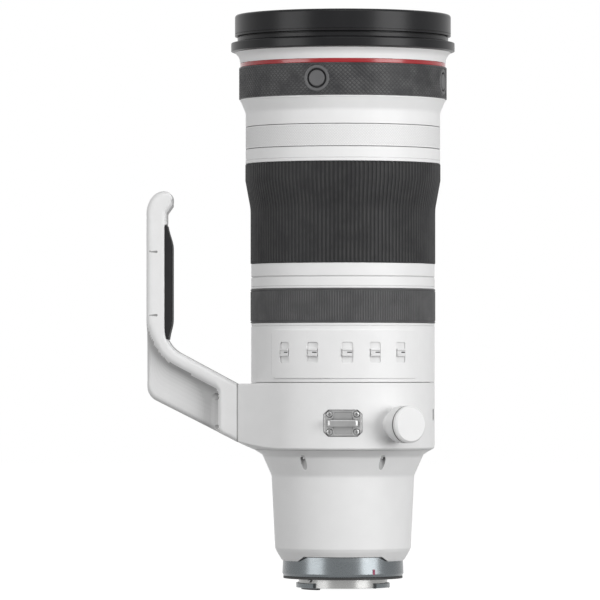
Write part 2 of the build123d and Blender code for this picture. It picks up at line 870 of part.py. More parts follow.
def make_cam_barrel():
    low = guide_seat + guide_flange_height + ring_gap
    body = sleeve(cam_bore, cam_radius, low, main_barrel_high - ring_gap)
    middle_radius = (cam_bore + cam_radius) / 2
    path = Helix(pitch=zoom_travel * 360 / zoom_angle, height=zoom_travel, radius=middle_radius, lefthand=True)
    across = Plane(origin=path @ 0, x_dir=(1, 0, 0), z_dir=path % 0)
    channel = sweep(across * Rectangle(cam_wall * 2, follower_slot_radius * 2), path=path, is_frenet=True)
    ends = pin(outward(90, 0, cam_bore - cam_wall), follower_slot_radius, cam_wall * 3)
    ends += pin(outward(90 - zoom_angle, zoom_travel, cam_bore - cam_wall), follower_slot_radius, cam_wall * 3)
    for angle in spread(follower_count, follower_start_angle):
        body -= Location((0, 0, follower_height), (0, 0, angle - 90)) * channel
        body -= Location((0, 0, follower_height), (0, 0, angle - 90)) * ends
    body -= pin(outward(key_angle, key_height, cam_bore - cam_wall), key_radius + seat_clearance, cam_wall * 3)
    return body


def make_zoom_key():
    inner = cam_bore + seat_clearance
    return pin(outward(key_angle, key_height, inner), key_radius, sleeve_radius - seat_clearance - inner)


def make_zoom_cell():
    low = follower_height - zoom_cell_height / 2
    high = low + zoom_cell_height
    bore = zoom_cell_radius - zoom_cell_wall
    cell = revolved([
        (bore, low), (zoom_cell_radius, low), (zoom_cell_radius, high), (bore, high),
        (bore, low + zoom_cell_lip * 2), (bore - zoom_cell_lip, low + zoom_cell_lip * 2),
        (bore - zoom_cell_lip, low + zoom_cell_lip), (bore, low + zoom_cell_lip),
    ])
    for angle in spread(follower_count, follower_start_angle):
        cell -= pin(outward(angle, follower_height, bore), follower_pin_radius + seat_clearance, zoom_cell_wall)
    return cell


def make_zoom_lens():
    low = follower_height - zoom_cell_height / 2 + zoom_cell_lip * 2
    return lens_element(zoom_cell_radius - zoom_cell_wall - seat_clearance, low, low + zoom_lens_edge,
                        zoom_lens_front_bulge, zoom_lens_rear_bulge, zoom_cell_lip)


def make_zoom_followers():
    bore = zoom_cell_radius - zoom_cell_wall
    reach = cam_radius - follower_inset - zoom_cell_radius
    followers = []
    for angle in spread(follower_count, follower_start_angle):
        shank = pin(outward(angle, follower_height, bore), follower_pin_radius, zoom_cell_wall)
        roller = pin(outward(angle, follower_height, zoom_cell_radius), follower_radius, reach)
        followers.append(shank + roller)
    return followers


# Rings that turn on the main barrel

def make_focus_ring():
    return sleeve(sleeve_bore, sleeve_radius, focus_ring_low + ring_gap, focus_ring_high - ring_gap)


def make_focus_rubber():
    low, high = focus_ring_low + ring_gap, focus_ring_high - ring_gap
    rubber = sleeve(sleeve_radius, grip_radius, low, high, edge_break)
    for height in (low + focus_rubber_lip, high - focus_rubber_lip):
        rubber -= groove(grip_radius, height, focus_rubber_groove_width, focus_rubber_groove_depth)
    return rubber


def zoom_grip_stations():
    low, high = zoom_ring_low + ring_gap, zoom_ring_high - ring_gap
    front_low = zoom_ring_high - grip_front_height
    return low, front_low - grip_flare_height, front_low, high


def make_zoom_ring():
    low, flare_low, front_low, high = zoom_grip_stations()
    wide = front_barrel_radius - rubber_inner_step
    return revolved([
        (sleeve_bore, low), (sleeve_radius, low), (sleeve_radius, flare_low), (wide, front_low),
        (wide, high), (sleeve_bore, high),
    ]) - pin(outward(key_angle, key_height, sleeve_bore - overrun), key_radius + seat_clearance, overrun * 2)


def zoom_grip_skin(inset):
    """Outer line of the zoom grip, from back to front, drawn in by an inset."""
    low, flare_low, front_low, high = zoom_grip_stations()
    narrow = grip_radius - inset
    wide = front_barrel_radius + rubber_relief / 2 - inset
    lip_low = front_low + grip_edge
    straight = Polyline((narrow, low), (narrow, flare_low))
    flare = TangentArc((narrow, flare_low), (wide, lip_low), tangent=(0, 1))
    front = Line((wide, lip_low), (wide, high))
    return [edge for line in (straight, flare, front) for edge in line.edges()]


def make_zoom_rubber():
    low, flare_low, front_low, high = zoom_grip_stations()
    wide_in = front_barrel_radius - rubber_inner_step
    floor_narrow = grip_radius - zoom_rib_depth
    floor_wide = front_barrel_radius + rubber_relief / 2 - zoom_rib_depth
    inner = Polyline((floor_wide, high), (wide_in, high), (wide_in, front_low), (sleeve_radius, flare_low),
                     (sleeve_radius, low), (floor_narrow, low))
    core_edges = zoom_grip_skin(zoom_rib_depth) + inner.edges()
    core = revolve(make_face([Plane.XZ * edge for edge in core_edges]), Axis.Z)
    rib_edges = zoom_grip_skin(0) + [edge for edge in zoom_grip_skin(zoom_rib_depth)]
    rib_edges += Line((grip_radius, low), (floor_narrow, low)).edges()
    rib_edges += Line((floor_wide + zoom_rib_depth, high), (floor_wide, high)).edges()
    rib_span = 360 / zoom_rib_count * zoom_rib_share
    rib = revolve(make_face([Plane.XZ * edge for edge in rib_edges]), Axis.Z, revolution_arc=rib_span)
    return core.fuse(*[Rot(0, 0, angle) * rib for angle in spread(zoom_rib_count)])


def make_middle_barrel():
    ring = sleeve(track_radius + seat_clearance, barrel_radius, focus_ring_high, zoom_ring_low)
    ring -= groove(barrel_radius, focus_ring_high + middle_groove_rise)
    return ring - groove(barrel_radius, focus_ring_high + middle_line_rise, groove_width / 2, groove_depth / 2)


# Front end

def make_front_barrel():
    """Front tube: it sits on the main barrel and carries the white, dark and red rings."""
    high = front_ring_low
    return revolved([
        (track_radius + seat_clearance, zoom_ring_high), (front_track_radius, zoom_ring_high),
        (front_track_radius, control_ring_high), (front_track_radius, button_ring_low),
        (front_tube_radius, button_ring_low), (front_tube_radius, red_band_high),
        (red_band_radius, red_band_high), (red_band_radius + front_ring_step / 2, high - flare_height / 3),
        (front_ring_radius, high), (front_tube_bore, high), (front_inner_radius, high),
        (front_inner_radius, front_cell_low),
        (front_inner_radius - front_lens_seat_wall, front_cell_low),
        (front_inner_radius - front_lens_seat_wall, button_ring_low),
        (front_track_radius - front_tube_wall, button_ring_low - overrun),
        (front_track_radius - front_tube_wall, control_ring_low),
        (guide_radius + seat_clearance, main_barrel_high + ring_gap),
        (guide_radius + seat_clearance, main_barrel_high),
        (track_radius + seat_clearance, main_barrel_high),
    ])


def make_front_skirt():
    inner = front_track_radius + seat_clearance
    ring = sleeve(inner, front_barrel_radius, zoom_ring_high, control_ring_low, edge_break)
    seam = zoom_ring_high + skirt_groove_rise
    return ring - groove(front_barrel_radius, seam, groove_width, groove_depth / 2)


def make_control_ring():
    inner = front_track_radius + slide_clearance
    low, high = control_ring_low + ring_gap, control_ring_high - ring_gap
    return sleeve(inner, front_barrel_radius, low, high, edge_break)


def make_control_barrel():
    low, high = control_ring_high, button_ring_low
    inner = front_track_radius + seat_clearance
    flare_low = high - (button_ring_step + front_track_inset) * button_ring_step / front_step
    return revolved([
        (inner, low), (front_barrel_radius - edge_break, low), (front_barrel_radius, low + edge_break),
        (front_barrel_radius, flare_low), (red_band_radius, high), (inner, high),
    ])


def make_button_ring():
    inner = front_tube_radius + seat_clearance
    ring = sleeve(inner, button_ring_radius, button_ring_low, button_ring_high, edge_break)
    well_floor = button_ring_radius - button_well_depth
    for angle in spread(button_count, button_first_angle):
        place = button_ring_low + button_rise
        ring -= pin(outward(angle, place, well_floor), button_well_radius, overrun)
        ring -= pin(outward(angle, place, front_tube_radius), button_hole_radius, overrun)
    return ring


def make_function_button(number):
    angle = button_first_angle + 360 * number / button_count
    base = front_tube_radius + button_travel + sliding_gap
    top = button_ring_radius - button_well_depth + button_height_above_well
    place = outward(angle, button_ring_low + button_rise, base)
    button = pin(place, button_radius, top - base)
    rim = button.faces().sort_by(lambda face: face.center().dot(place.z_dir))[-1].edges()
    return chamfer(rim, button_crown)


def make_red_band():
    return sleeve(front_tube_radius + seat_clearance, red_band_radius, button_ring_high, red_band_high)


def make_front_ring():
    low, high = front_ring_low, front_ring_high
    floor = front_ring_radius - groove_floor_inset
    skin = [
        (front_inner_radius, low), (front_flange_radius - front_flange_chamfer_inset, low),
        (front_flange_radius, low + front_flange_chamfer), (front_flange_radius, low + groove_low_rise),
        (floor, low + groove_floor_rise), (floor, low + groove_floor_rise + groove_floor_width),
        (front_ring_radius, low + groove_high_rise), (front_ring_radius, high - front_corner),
        (front_ring_radius - front_corner / 3, high - front_corner / 3),
        (front_ring_radius - front_corner, high), (filter_bore, high),
        (filter_bore, high - filter_thread_depth), (front_inner_radius, high - filter_thread_depth),
    ]
    return revolved(skin) - groove(front_ring_radius, low + hood_line_rise, groove_width, groove_depth / 2)


def make_front_cell():
    inner = front_inner_radius - front_cell_wall
    return revolved([
        (inner, front_cell_low), (front_cell_radius, front_cell_low), (front_cell_radius, front_cell_high),
        (front_lens_bore, front_cell_high), (front_lens_bore, front_lens_low), (inner, front_lens_low),
    ])


def make_front_lens():
    return lens_element(front_lens_radius, front_lens_low, front_lens_high,
                        front_lens_front_bulge, front_lens_rear_bulge, retaining_ring_wall)


def make_front_retaining_ring():
    outer = front_lens_bore - seat_clearance
    low, high = front_lens_high + sliding_gap, front_cell_high
    inner = outer - retaining_ring_wall
    ring = revolved([(inner, low + retaining_slot_depth), (outer - retaining_slot_depth, low),
                     (outer, low), (outer, high), (inner, high)])
    slot = Box(front_ring_radius * 2, retaining_slot_width, retaining_slot_depth,
               align=(Align.CENTER, Align.CENTER, Align.MAX))
    return ring - Pos(0, 0, high) * slot


# Switch panel

def make_switch_panel():
    plates = []
    for start, end, raised in panel_plates:
        middle = (start + end) / 2
        width = sin(radians((end - start) / 2)) * barrel_radius * 2 - panel_joint
        outline = RectangleRounded(width, panel_height, panel_corner)
        place = outward(middle, collar_high + panel_low_rise + panel_height / 2, barrel_radius / 2)
        skin = sleeve(barrel_radius + seat_clearance, barrel_radius + raised, collar_high, focus_ring_low)
        plate = extrude(place * outline, barrel_radius) & skin
        for angle in switch_angles:
            window = RectangleRounded(window_width, window_height, window_corner)
            plate -= extrude(outward(angle, switch_height, track_radius) * window, overrun * 2)
        plates.append(plate)
    return plates


def make_switch(number):
    angle = switch_angles[number]
    top = barrel_radius + slider_proud
    floor = outward(angle, switch_height, slider_base_low)
    base = extrude(floor * Rectangle(slider_base_width, slider_base_length), slider_base_height)
    ridge = extrude(floor * Rectangle(slider_width, slider_height), top - slider_base_low)
    notch_floor = outward(angle, switch_height, top - slider_notch_depth)
    return base + ridge - extrude(notch_floor * Rectangle(slider_width, slider_notch_width), overrun)


# Tripod collar

def boss_outline():
    """Plan of the collar with its boss: two tangents run from the seam's corners to the circle."""
    half = boss_width / 2
    corner_distance = hypot(seam_reach, half)
    tangent_turn = acos(collar_radius / corner_distance)
    corner_turn = atan2(half, -seam_reach)
    touch = corner_turn - tangent_turn
    points = [
        (-seam_reach, half), (collar_radius * cos(touch), collar_radius * sin(touch)), (0, 0),
        (collar_radius * cos(touch), -collar_radius * sin(touch)), (-seam_reach, -half),
    ]
    return make_face(Polyline(*points, close=True))


def make_tripod_collar():
    low, high = collar_low + ring_gap, collar_high - ring_gap
    bore = collar_track_radius + slide_clearance
    body = revolved([
        (bore, low), (collar_radius - collar_edge, low), (collar_radius, low + collar_edge),
        (collar_radius, high - edge_break), (collar_radius - edge_break, high), (bore, high),
    ])
    boss = extrude(Pos(0, 0, low) * boss_outline(), collar_high - boss_top_inset - low)
    side = side_prism([(-collar_radius + collar_edge, low), (0, low), (0, high), (-seam_reach, high),
                       (-seam_reach, collar_low + boss_low_rise)], collar_radius * 2)
    boss = (boss & side) - sleeve(0, (bore + collar_radius) / 2, low, high)
    body += boss
    neck = outward(knob_angle, knob_height_above_flange, bore + stud_tip_gap)
    body += pin(neck, neck_radius, collar_radius + neck_reach - bore - stud_tip_gap)
    body -= pin(outward(knob_angle, knob_height_above_flange), stud_radius + slide_clearance, seam_reach)
    for angle in lug_angles:
        body -= lug_seat(angle, part_gap / 2) & sleeve(lug_floor, seam_reach, low, high)
        for place in lug_screw_places(angle, lug_floor):
            body -= pin(place, lug_screw_radius + seat_clearance, lug_plate_thickness - lug_screw_length)
    slot = outward(90, collar_low + security_slot_rise, collar_radius - security_slot_depth)
    body -= extrude(slot * RectangleRounded(security_slot_width, security_slot_height, security_slot_width / 3),
                    overrun)
    for place in foot_screw_places(-seam_reach):
        body -= pin(place, foot_screw_radius + seat_clearance, foot_screw_depth + part_gap)
    return body


def lug_seat(angle, gap):
    """Prism with the outline of a lug plate, grown by a gap."""
    outline = chamfer(Rectangle(lug_plate_width, lug_plate_height).vertices(), lug_plate_corner)
    place = outward(angle, lug_height, collar_radius / 2)
    return extrude(place * offset(outline, gap, kind=Kind.INTERSECTION), collar_radius)


def lug_screw_places(angle, distance):
    turn = degrees(lug_screw_across / collar_radius)
    return [outward(angle + side * turn, lug_height + up * lug_screw_up, distance)
            for side in (-1, 1) for up in (-1, 1)]


def make_strap_lugs():
    lugs = []
    for angle in lug_angles:
        plate = lug_seat(angle, 0) & sleeve(lug_floor, lug_face, collar_low, collar_high)
        bar_reach = lug_face + lug_bar_gap + lug_bar_thickness
        depth = bar_reach - lug_floor
        place = outward(angle, lug_height - lug_bar_height / 2, 0)
        ground = Plane(origin=place.origin, x_dir=place.x_dir, z_dir=(0, 0, 1))
        outer = Pos(0, -lug_floor - depth / 2) * Rectangle(lug_bar_length, depth)
        outer = fillet(outer.vertices().group_by(Axis.Y)[0], lug_bar_corner)
        inner_length = lug_bar_length - lug_bar_thickness * 2
        inner = Pos(0, -bar_reach + lug_bar_thickness + depth / 2) * Rectangle(inner_length, depth)
        staple = extrude(ground * (outer - inner), lug_bar_height)
        lug = plate + staple
        for screw in lug_screw_places(angle, lug_floor):
            lug -= pin(screw.offset(-part_gap), lug_screw_radius + seat_clearance, lug_plate_thickness)
            lug -= pin(screw.offset(lug_plate_thickness - lug_screw_head_height / 2),
                       lug_screw_head_radius + seat_clearance, overrun)
        lugs.append(lug)
    return lugs


def make_strap_lug_screws():
    screws = []
    for angle in lug_angles:
        for place in lug_screw_places(angle, lug_face - lug_screw_head_height / 2):
            drive = place.offset(lug_screw_head_height - lug_screw_drive_depth)
            head = pin(place, lug_screw_head_radius, lug_screw_head_height)
            head -= pin(drive, lug_screw_drive_radius, overrun)
            screws.append(head + pin(place, lug_screw_radius, lug_screw_head_height / 2 - lug_screw_length))
    return screws


def make_lock_knob():
    height = knob_height
    groove_low = height - knob_groove_from_face - knob_groove_width
    groove_high = height - knob_groove_from_face
    tip = collar_track_radius + slide_clearance + stud_tip_gap
    base = collar_radius + neck_reach + sliding_gap
    knob = revolved([
        (0, tip - base), (stud_radius, tip - base), (stud_radius, 0), (knob_radius - knob_base_chamfer, 0),
        (knob_radius, knob_base_chamfer), (knob_radius, groove_low),
        (knob_radius - knob_groove_depth, groove_low), (knob_radius - knob_groove_depth, groove_high),
        (knob_radius, groove_high), (knob_radius, height - knob_chamfer),
        (knob_radius - knob_chamfer, height), (0, height),
    ])
    return outward(knob_angle, knob_height_above_flange, base).location * knob


# Tripod foot

def foot_screw_places(x):
    """Planes for the foot's screws, facing +X, two above two."""
    return [Plane(origin=(x, side * foot_screw_across, collar_low + height), x_dir=(0, 1, 0), z_dir=(1, 0, 0))
            for side in (-1, 1) for height in foot_screw_heights_above_collar]


def foot_corners():
    """Places where the foot's inner edge and lower edge turn upright."""
    top_of_seam = collar_high - boss_top_inset
    inner = top_of_seam + (foot_inner_reach - seam_reach) * tan(radians(foot_upper_slope))
    low_of_seam = collar_low + boss_low_rise
    outer = low_of_seam + foot_reach * tan(radians(foot_lower_slope))
    return top_of_seam, inner, low_of_seam, outer


def foot_drop():
    """Upright thickness of the strap where it slopes."""
    return foot_slope_thickness / cos(radians(foot_upper_slope))


def foot_strap():
    """The band of the foot from the seam to the hook, and where its underside turns upright."""
    seam_top, inner_corner, _, _ = foot_corners()
    shelf_reach = foot_inner_reach - hook_shelf
    nose_reach = foot_inner_reach - hook_overhang
    strap_seam = seam_top - foot_drop()
    strap_corner = inner_corner - foot_drop() + foot_thickness * tan(radians(foot_upper_slope))
    hook_low = foot_top - hook_drop
    strap = side_prism([
        (-seam_reach, strap_seam), (-seam_reach, seam_top), (-foot_inner_reach, inner_corner),
        (-foot_inner_reach, pad_high), (-shelf_reach, pad_high),
        (-shelf_reach, hook_low - hook_slope_height), (-nose_reach, hook_low), (-nose_reach, foot_top),
        (-foot_outer_reach, foot_top), (-foot_outer_reach, strap_corner),
    ], foot_width, {
        (-foot_inner_reach, inner_corner): foot_inner_corner, (-nose_reach, foot_top): hook_inner_corner,
        (-foot_outer_reach, foot_top): hook_outer_corner, (-foot_outer_reach, strap_corner): foot_strap_corner,
    })
    rounded = strap.edges().filter_by(lambda edge: abs(abs(edge.center().Y) - foot_width / 2) < seat_clearance)
    outer_side = rounded.filter_by(lambda edge: edge.center().X < -foot_inner_reach - seat_clearance)
    strap = fillet(outer_side.filter_by(lambda edge: edge.center().Z > inner_corner), foot_edge_round)
    return strap, strap_corner + foot_strap_corner * tan(radians((90 - foot_upper_slope) / 2))


def make_tripod_foot():
    seam_top, inner_corner, seam_low, outer_corner = foot_corners()
    strap, web_top = foot_strap()
    middle = foot_drop() / 2
    web = side_prism([
        (-seam_reach, seam_low), (-seam_reach, seam_top - middle), (-foot_inner_reach, inner_corner - middle),
        (-foot_face_reach, web_top), (-foot_face_reach, outer_corner),
    ], foot_web_width, {(-foot_face_reach, outer_corner): foot_outer_corner})
    column_reach = seam_reach + foot_column
    column = side_prism([
        (-seam_reach, seam_low), (-seam_reach, seam_top - middle), (-column_reach, seam_top - middle),
        (-column_reach, seam_low + foot_column * tan(radians(foot_lower_slope))),
    ], foot_width)
    body = strap + web + column
    for above in (small_thread_above_collar, large_thread_above_collar):
        for side in (-1, 1):
            body -= side_mark(above, side)
    for place in foot_screw_places(-seam_reach):
        body -= pin(place, foot_screw_radius + seat_clearance, -foot_column)
        head = place.offset(-foot_column + foot_screw_sink)
        body -= pin(head, foot_screw_head_radius + seat_clearance, -foot_column)
    for above in (small_thread_above_collar, large_thread_above_collar):
        body -= pin(thread_plane(above), insert_radius_outer, -insert_depth - seat_clearance)
    return body


def side_mark(above, side):
    """Teardrop pocket in a side of the strap, level with a thread insert."""
    x = side_mark_inset - foot_outer_reach
    face = Plane(origin=(x, side * foot_width / 2, collar_high + above), x_dir=(-1, 0, 0), z_dir=(0, side, 0))
    tail = make_face(Polyline((0, -side_mark_radius), (0, side_mark_radius), (side_mark_length, 0), close=True))
    return extrude(face * (Circle(side_mark_radius) + tail), side_mark_depth, both=True)


def thread_plane(above):
    return Plane(origin=(-foot_outer_reach, 0, collar_high + above), x_dir=(0, 1, 0), z_dir=(-1, 0, 0))


def make_tripod_thread_inserts():
    inserts = []
    for above, radius in ((small_thread_above_collar, small_thread_radius),
                          (large_thread_above_collar, large_thread_radius)):
        place = thread_plane(above)
        insert = pin(place, insert_radius_outer - seat_clearance, -insert_depth)
        inserts.append(insert - pin(place, radius, -insert_depth))
    return inserts


def make_foot_grip_pad():
    back = -foot_inner_reach
    front = back + pad_thickness
    tip = back + pad_tip_thickness
    strap, _ = foot_strap()
    pad = side_prism([
        (back, pad_low), (back + pad_heel_step, pad_low), (front, pad_low + pad_low_slope_height),
        (front, pad_high - pad_high_slope_height), (tip, pad_high - seat_clearance),
        (back, pad_high - seat_clearance),
    ], foot_width)
    return pad - strap


def make_foot_screws():
    screws = []
    for place in foot_screw_places(-seam_reach - foot_column + foot_screw_sink):
        head = pin(place, foot_screw_head_radius, -foot_screw_head_height)
        drive = place.offset(-foot_screw_head_height)
        head -= extrude(drive * RegularPolygon(foot_screw_drive_radius, 6), foot_screw_head_height / 2)
        screws.append(head + pin(place, foot_screw_radius, foot_column - foot_screw_sink + foot_screw_depth))
    return screws


def as_group(made):
    """One shape for a node, whether its function made one solid or several."""
    pieces = made if isinstance(made, list) else [made]
    return Compound([solid for piece in pieces for solid in piece.solids()])


def make_parts():
    parts = {
        "mount_ring": make_mount_ring, "mount_gasket": make_mount_gasket, "mount_screws": make_mount_screws,
        "contact_block": make_contact_block, "contact_pins": make_contact_pins, "rear_baffle": make_rear_baffle,
        "rear_barrel": make_rear_barrel, "rear_barrel_screws": make_rear_barrel_screws,
        "rear_inner_barrel": make_rear_inner_barrel, "rear_lens": make_rear_lens,
        "circuit_board": make_circuit_board, "focus_guide_rods": make_focus_guide_rods,
        "focus_cell": make_focus_cell, "focus_lens": make_focus_lens,
        "stabiliser_housing": make_stabiliser_housing, "stabiliser_carrier": make_stabiliser_carrier,
        "stabiliser_cell": make_stabiliser_cell, "stabiliser_lens": make_stabiliser_lens,
        "iris_housing": make_iris_housing, "iris_blades": make_iris_blades,
        "main_barrel": make_main_barrel, "guide_barrel": make_guide_barrel, "cam_barrel": make_cam_barrel,
        "zoom_key": make_zoom_key, "zoom_cell": make_zoom_cell, "zoom_lens": make_zoom_lens,
        "zoom_followers": make_zoom_followers, "focus_ring": make_focus_ring, "focus_rubber": make_focus_rubber,
        "zoom_ring": make_zoom_ring, "zoom_rubber": make_zoom_rubber, "middle_barrel": make_middle_barrel,
        "front_barrel": make_front_barrel, "front_skirt": make_front_skirt, "control_ring": make_control_ring,
        "control_barrel": make_control_barrel, "button_ring": make_button_ring, "red_band": make_red_band,
        "front_ring": make_front_ring, "front_cell": make_front_cell, "front_lens": make_front_lens,
        "front_retaining_ring": make_front_retaining_ring, "switch_panel": make_switch_panel,
        "tripod_collar": make_tripod_collar, "strap_lugs": make_strap_lugs,
        "strap_lug_screws": make_strap_lug_screws, "lock_knob": make_lock_knob, "tripod_foot": make_tripod_foot,
        "foot_grip_pad": make_foot_grip_pad, "foot_screws": make_foot_screws,
        "tripod_thread_inserts": make_tripod_thread_inserts,
    }
    made = {name: as_group(make()) for name, make in parts.items()}
    for number in range(button_count):
        made[f"function_button_{number + 1}"] = as_group(make_function_button(number))
    for number in range(len(switch_angles)):
        made[f"switch_{number + 1}"] = as_group(make_switch(number))
    return made


os.makedirs("parts", exist_ok=True)
for node, shape in make_parts().items():
    export_step(shape, f"parts/{node}.step")
    print(node, len(shape.solids()), round(shape.volume))
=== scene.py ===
from contextlib import contextmanager
from math import acos, asin, atan2, cos, degrees, hypot, pi, radians, sin, tan

import bmesh
import bpy
import numpy as np
from mathutils import Matrix, Vector


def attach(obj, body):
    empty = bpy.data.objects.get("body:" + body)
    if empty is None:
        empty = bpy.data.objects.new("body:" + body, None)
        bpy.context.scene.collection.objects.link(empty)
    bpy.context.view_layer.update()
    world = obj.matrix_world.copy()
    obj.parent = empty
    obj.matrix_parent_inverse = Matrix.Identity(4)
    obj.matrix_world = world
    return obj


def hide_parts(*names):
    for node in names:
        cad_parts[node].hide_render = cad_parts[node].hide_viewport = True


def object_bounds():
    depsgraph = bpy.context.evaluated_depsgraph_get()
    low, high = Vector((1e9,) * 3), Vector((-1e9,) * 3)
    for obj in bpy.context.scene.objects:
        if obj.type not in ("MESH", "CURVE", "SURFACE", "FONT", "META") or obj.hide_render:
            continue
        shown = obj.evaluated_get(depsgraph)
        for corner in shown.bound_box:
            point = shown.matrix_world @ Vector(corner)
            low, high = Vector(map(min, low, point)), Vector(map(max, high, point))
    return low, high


# A camera zoom lens with its tripod collar and foot. Shapes are written in
# millimetres in the frame of the solids and become metres when a mesh is made.
# Angles round the axis start at the switch side (-Y) and grow towards +X.

MM = 0.001
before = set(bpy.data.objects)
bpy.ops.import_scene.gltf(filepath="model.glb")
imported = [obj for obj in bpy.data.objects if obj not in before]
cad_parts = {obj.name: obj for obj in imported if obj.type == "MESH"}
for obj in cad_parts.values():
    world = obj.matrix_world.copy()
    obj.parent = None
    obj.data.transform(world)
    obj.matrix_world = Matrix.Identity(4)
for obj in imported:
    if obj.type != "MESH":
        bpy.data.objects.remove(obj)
cad_low, cad_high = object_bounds()

# Stations along the axis
MOUNT_HIGH, REAR_HIGH, COLLAR_LOW, COLLAR_HIGH = 9.3, 70.2, 73.1, 111.9
FOCUS_LOW, FOCUS_HIGH, ZOOM_LOW, ZOOM_HIGH = 145.65, 165.5, 179.8, 237.6
CONTROL_LOW, CONTROL_HIGH, BUTTON_LOW, BUTTON_HIGH = 245.8, 258.8, 274.7, 293.1
RED_HIGH, FRONT_LOW, FRONT_HIGH = 295.6, 301.8, 323.5

# Outer radii, then bores
MOUNT, BARREL, GRIP, FRONT_BARREL = 35.0, 52.9, 53.3, 56.1
GRIP_WIDE, BUTTON_RING, RED_BAND, FRONT_RING, FLANGE = 56.3, 59.9, 59.2, 62.3, 64.5
THROAT, GRIP_BORE, SLEEVE_BORE, BUTTON_BORE, LENS_SEAT = 24.1, 51.9, 53.45, 57.25, 53.35

SWITCH_ANGLES = [-38.4, -18.8, 2.6, 20.1, 38.1]
SWITCH_HEIGHT, PANEL_HEIGHT = 128.8, 127.85
BUTTON_ANGLES = [-14.5, 75.5, 165.5, 255.5]
BUTTON_HEIGHT, WELL_RADIUS, WELL_DEPTH = 284.3, 7.3, 2.45
KNOB_ANGLE, KNOB_HEIGHT = 33.5, 88.0
SLOT_ANGLE, SLOT_HEIGHT = 79, 93.2
LUG_ANGLES, LUG_HEIGHT, LUG_SCREW_X, LUG_SCREW_Y = (0, 180), 88.7, 7.6, 5.0
MOUNT_SCREW_ANGLES, MOUNT_SCREW_CIRCLE = (15, 105, 195, 285), 29.7
REAR_SCREW_ANGLES, REAR_POCKET_CIRCLE = (-30, 30, 90, 150, 210, 270), 44.65

# The foot runs from its seam on the collar out to the strap and up to the hook
FOOT_SEAM, STRAP_IN, STRAP_OUT, FOOT_HALF, WEB_HALF = -60.3, -102.4, -112.9, 16.0, 9.0
FOOT_SCREW_PLACES = [(y, z) for y in (-12.5, 12.5) for z in (85.2, 103.6)]
THREAD_HEIGHTS = 189.3, 155.3


# Outlines

def rounded(points, steps=4, closed=True):
    """Line of (x, y) points from corners (x, y) or (x, y, radius)."""
    line, count = [], len(points)
    for i, (x, y, *radius) in enumerate(points):
        if not any(radius) or (not closed and i in (0, count - 1)):
            line.append((x, y))
            continue
        corner = Vector((x, y))
        back = Vector(points[i - 1][:2]) - corner
        ahead = Vector(points[(i + 1) % count][:2]) - corner
        half, room = back.angle(ahead) / 2, min(back.length, ahead.length) * 0.49
        cut = min(radius[0] / tan(half), room)
        back.normalize()
        ahead.normalize()
        centre = corner + (back + ahead).normalized() * (cut / cos(half))
        start, end = corner + back * cut - centre, corner + ahead * cut - centre
        turn = start.angle_signed(end)
        for step in range(steps + 1):
            arm = start.copy()
            arm.rotate(Matrix.Rotation(-turn * step / steps, 2))
            line.append(tuple(centre + arm))
    return line


def fourfold(corners, steps=4):
    """Outline that is the same in all four quarters, from its corners at the lower left."""
    low = corners + [(-x, y, radius) for x, y, radius in corners[::-1]]
    return rounded(low + [(x, -y, radius) for x, y, radius in low[::-1]], steps)


def rectangle(width, height, radius=0, steps=4):
    return fourfold([(-width / 2, -height / 2, radius)], steps)


def circle(radius, count):
    turns = [2 * pi * i / count for i in range(count)]
    return [(radius * cos(turn), radius * sin(turn)) for turn in turns]


# Places, as points and matrices in millimetres

HERE = Matrix()
TURNED_OVER = Matrix.Rotation(pi, 4, "X")


def polar(radius, turn, height):
    """Point off the axis, turned by radians."""
    return radius * sin(turn), -radius * cos(turn), height


def outward(angle, height, distance=0):
    """Matrix whose Z leaves the axis and whose Y is up."""
    turn = radians(angle)
    axes = Matrix(((cos(turn), sin(turn), 0), (0, 0, 1), (sin(turn), -cos(turn), 0)))
    return Matrix.Translation(polar(distance, turn, height)) @ axes.transposed().to_4x4()


def upward(angle, distance, height):
    """Matrix whose Z runs along the optical axis."""
    turn = radians(angle)
    return Matrix.Translation(polar(distance, turn, height)) @ Matrix.Rotation(turn, 4, "Z")


def off_foot(x, y, z):
    """Matrix whose Z leaves the outer face of the foot."""
    return Matrix.Translation((x, y, z)) @ Matrix.Rotation(radians(-90), 4, "Y")


def moved(points, matrix):
    turn = np.array(matrix)
    return points @ turn[:3, :3].T + turn[:3, 3]


# Meshes

def mesh_object(name, points, faces, matrix=HERE):
    """Object from points in millimetres."""
    mesh = bpy.data.meshes.new(name)
    mesh.from_pydata((moved(np.asarray(points, float), matrix) * MM).tolist(), [], faces)
    mesh.update()
    made = bpy.data.objects.new(name, mesh)
    bpy.context.collection.objects.link(made)
    return made


def grid_faces(rows, columns, wrap_rows=True, wrap_columns=True):
    """Quads of a grid of points, row by row."""
    across = np.arange(rows if wrap_rows else rows - 1)
    down = np.arange(columns if wrap_columns else columns - 1)
    first, second = np.meshgrid(across, down, indexing="ij")
    next_first, next_second = (first + 1) % rows, (second + 1) % columns
    corners = [first * columns + second, next_first * columns + second,
               next_first * columns + next_second, first * columns + next_second]
    return np.stack(corners, -1).reshape(-1, 4).tolist()


def end_faces(rows, columns):
    """Faces that shut a section at its first and last row."""
    last = (rows - 1) * columns
    return [list(range(columns))[::-1], list(range(last, last + columns))]


def swept_faces(rows, columns):
    """Sides and ends of a closed section swept along the rows, still to be flipped."""
    return grid_faces(rows, columns, wrap_rows=False) + end_faces(rows, columns)


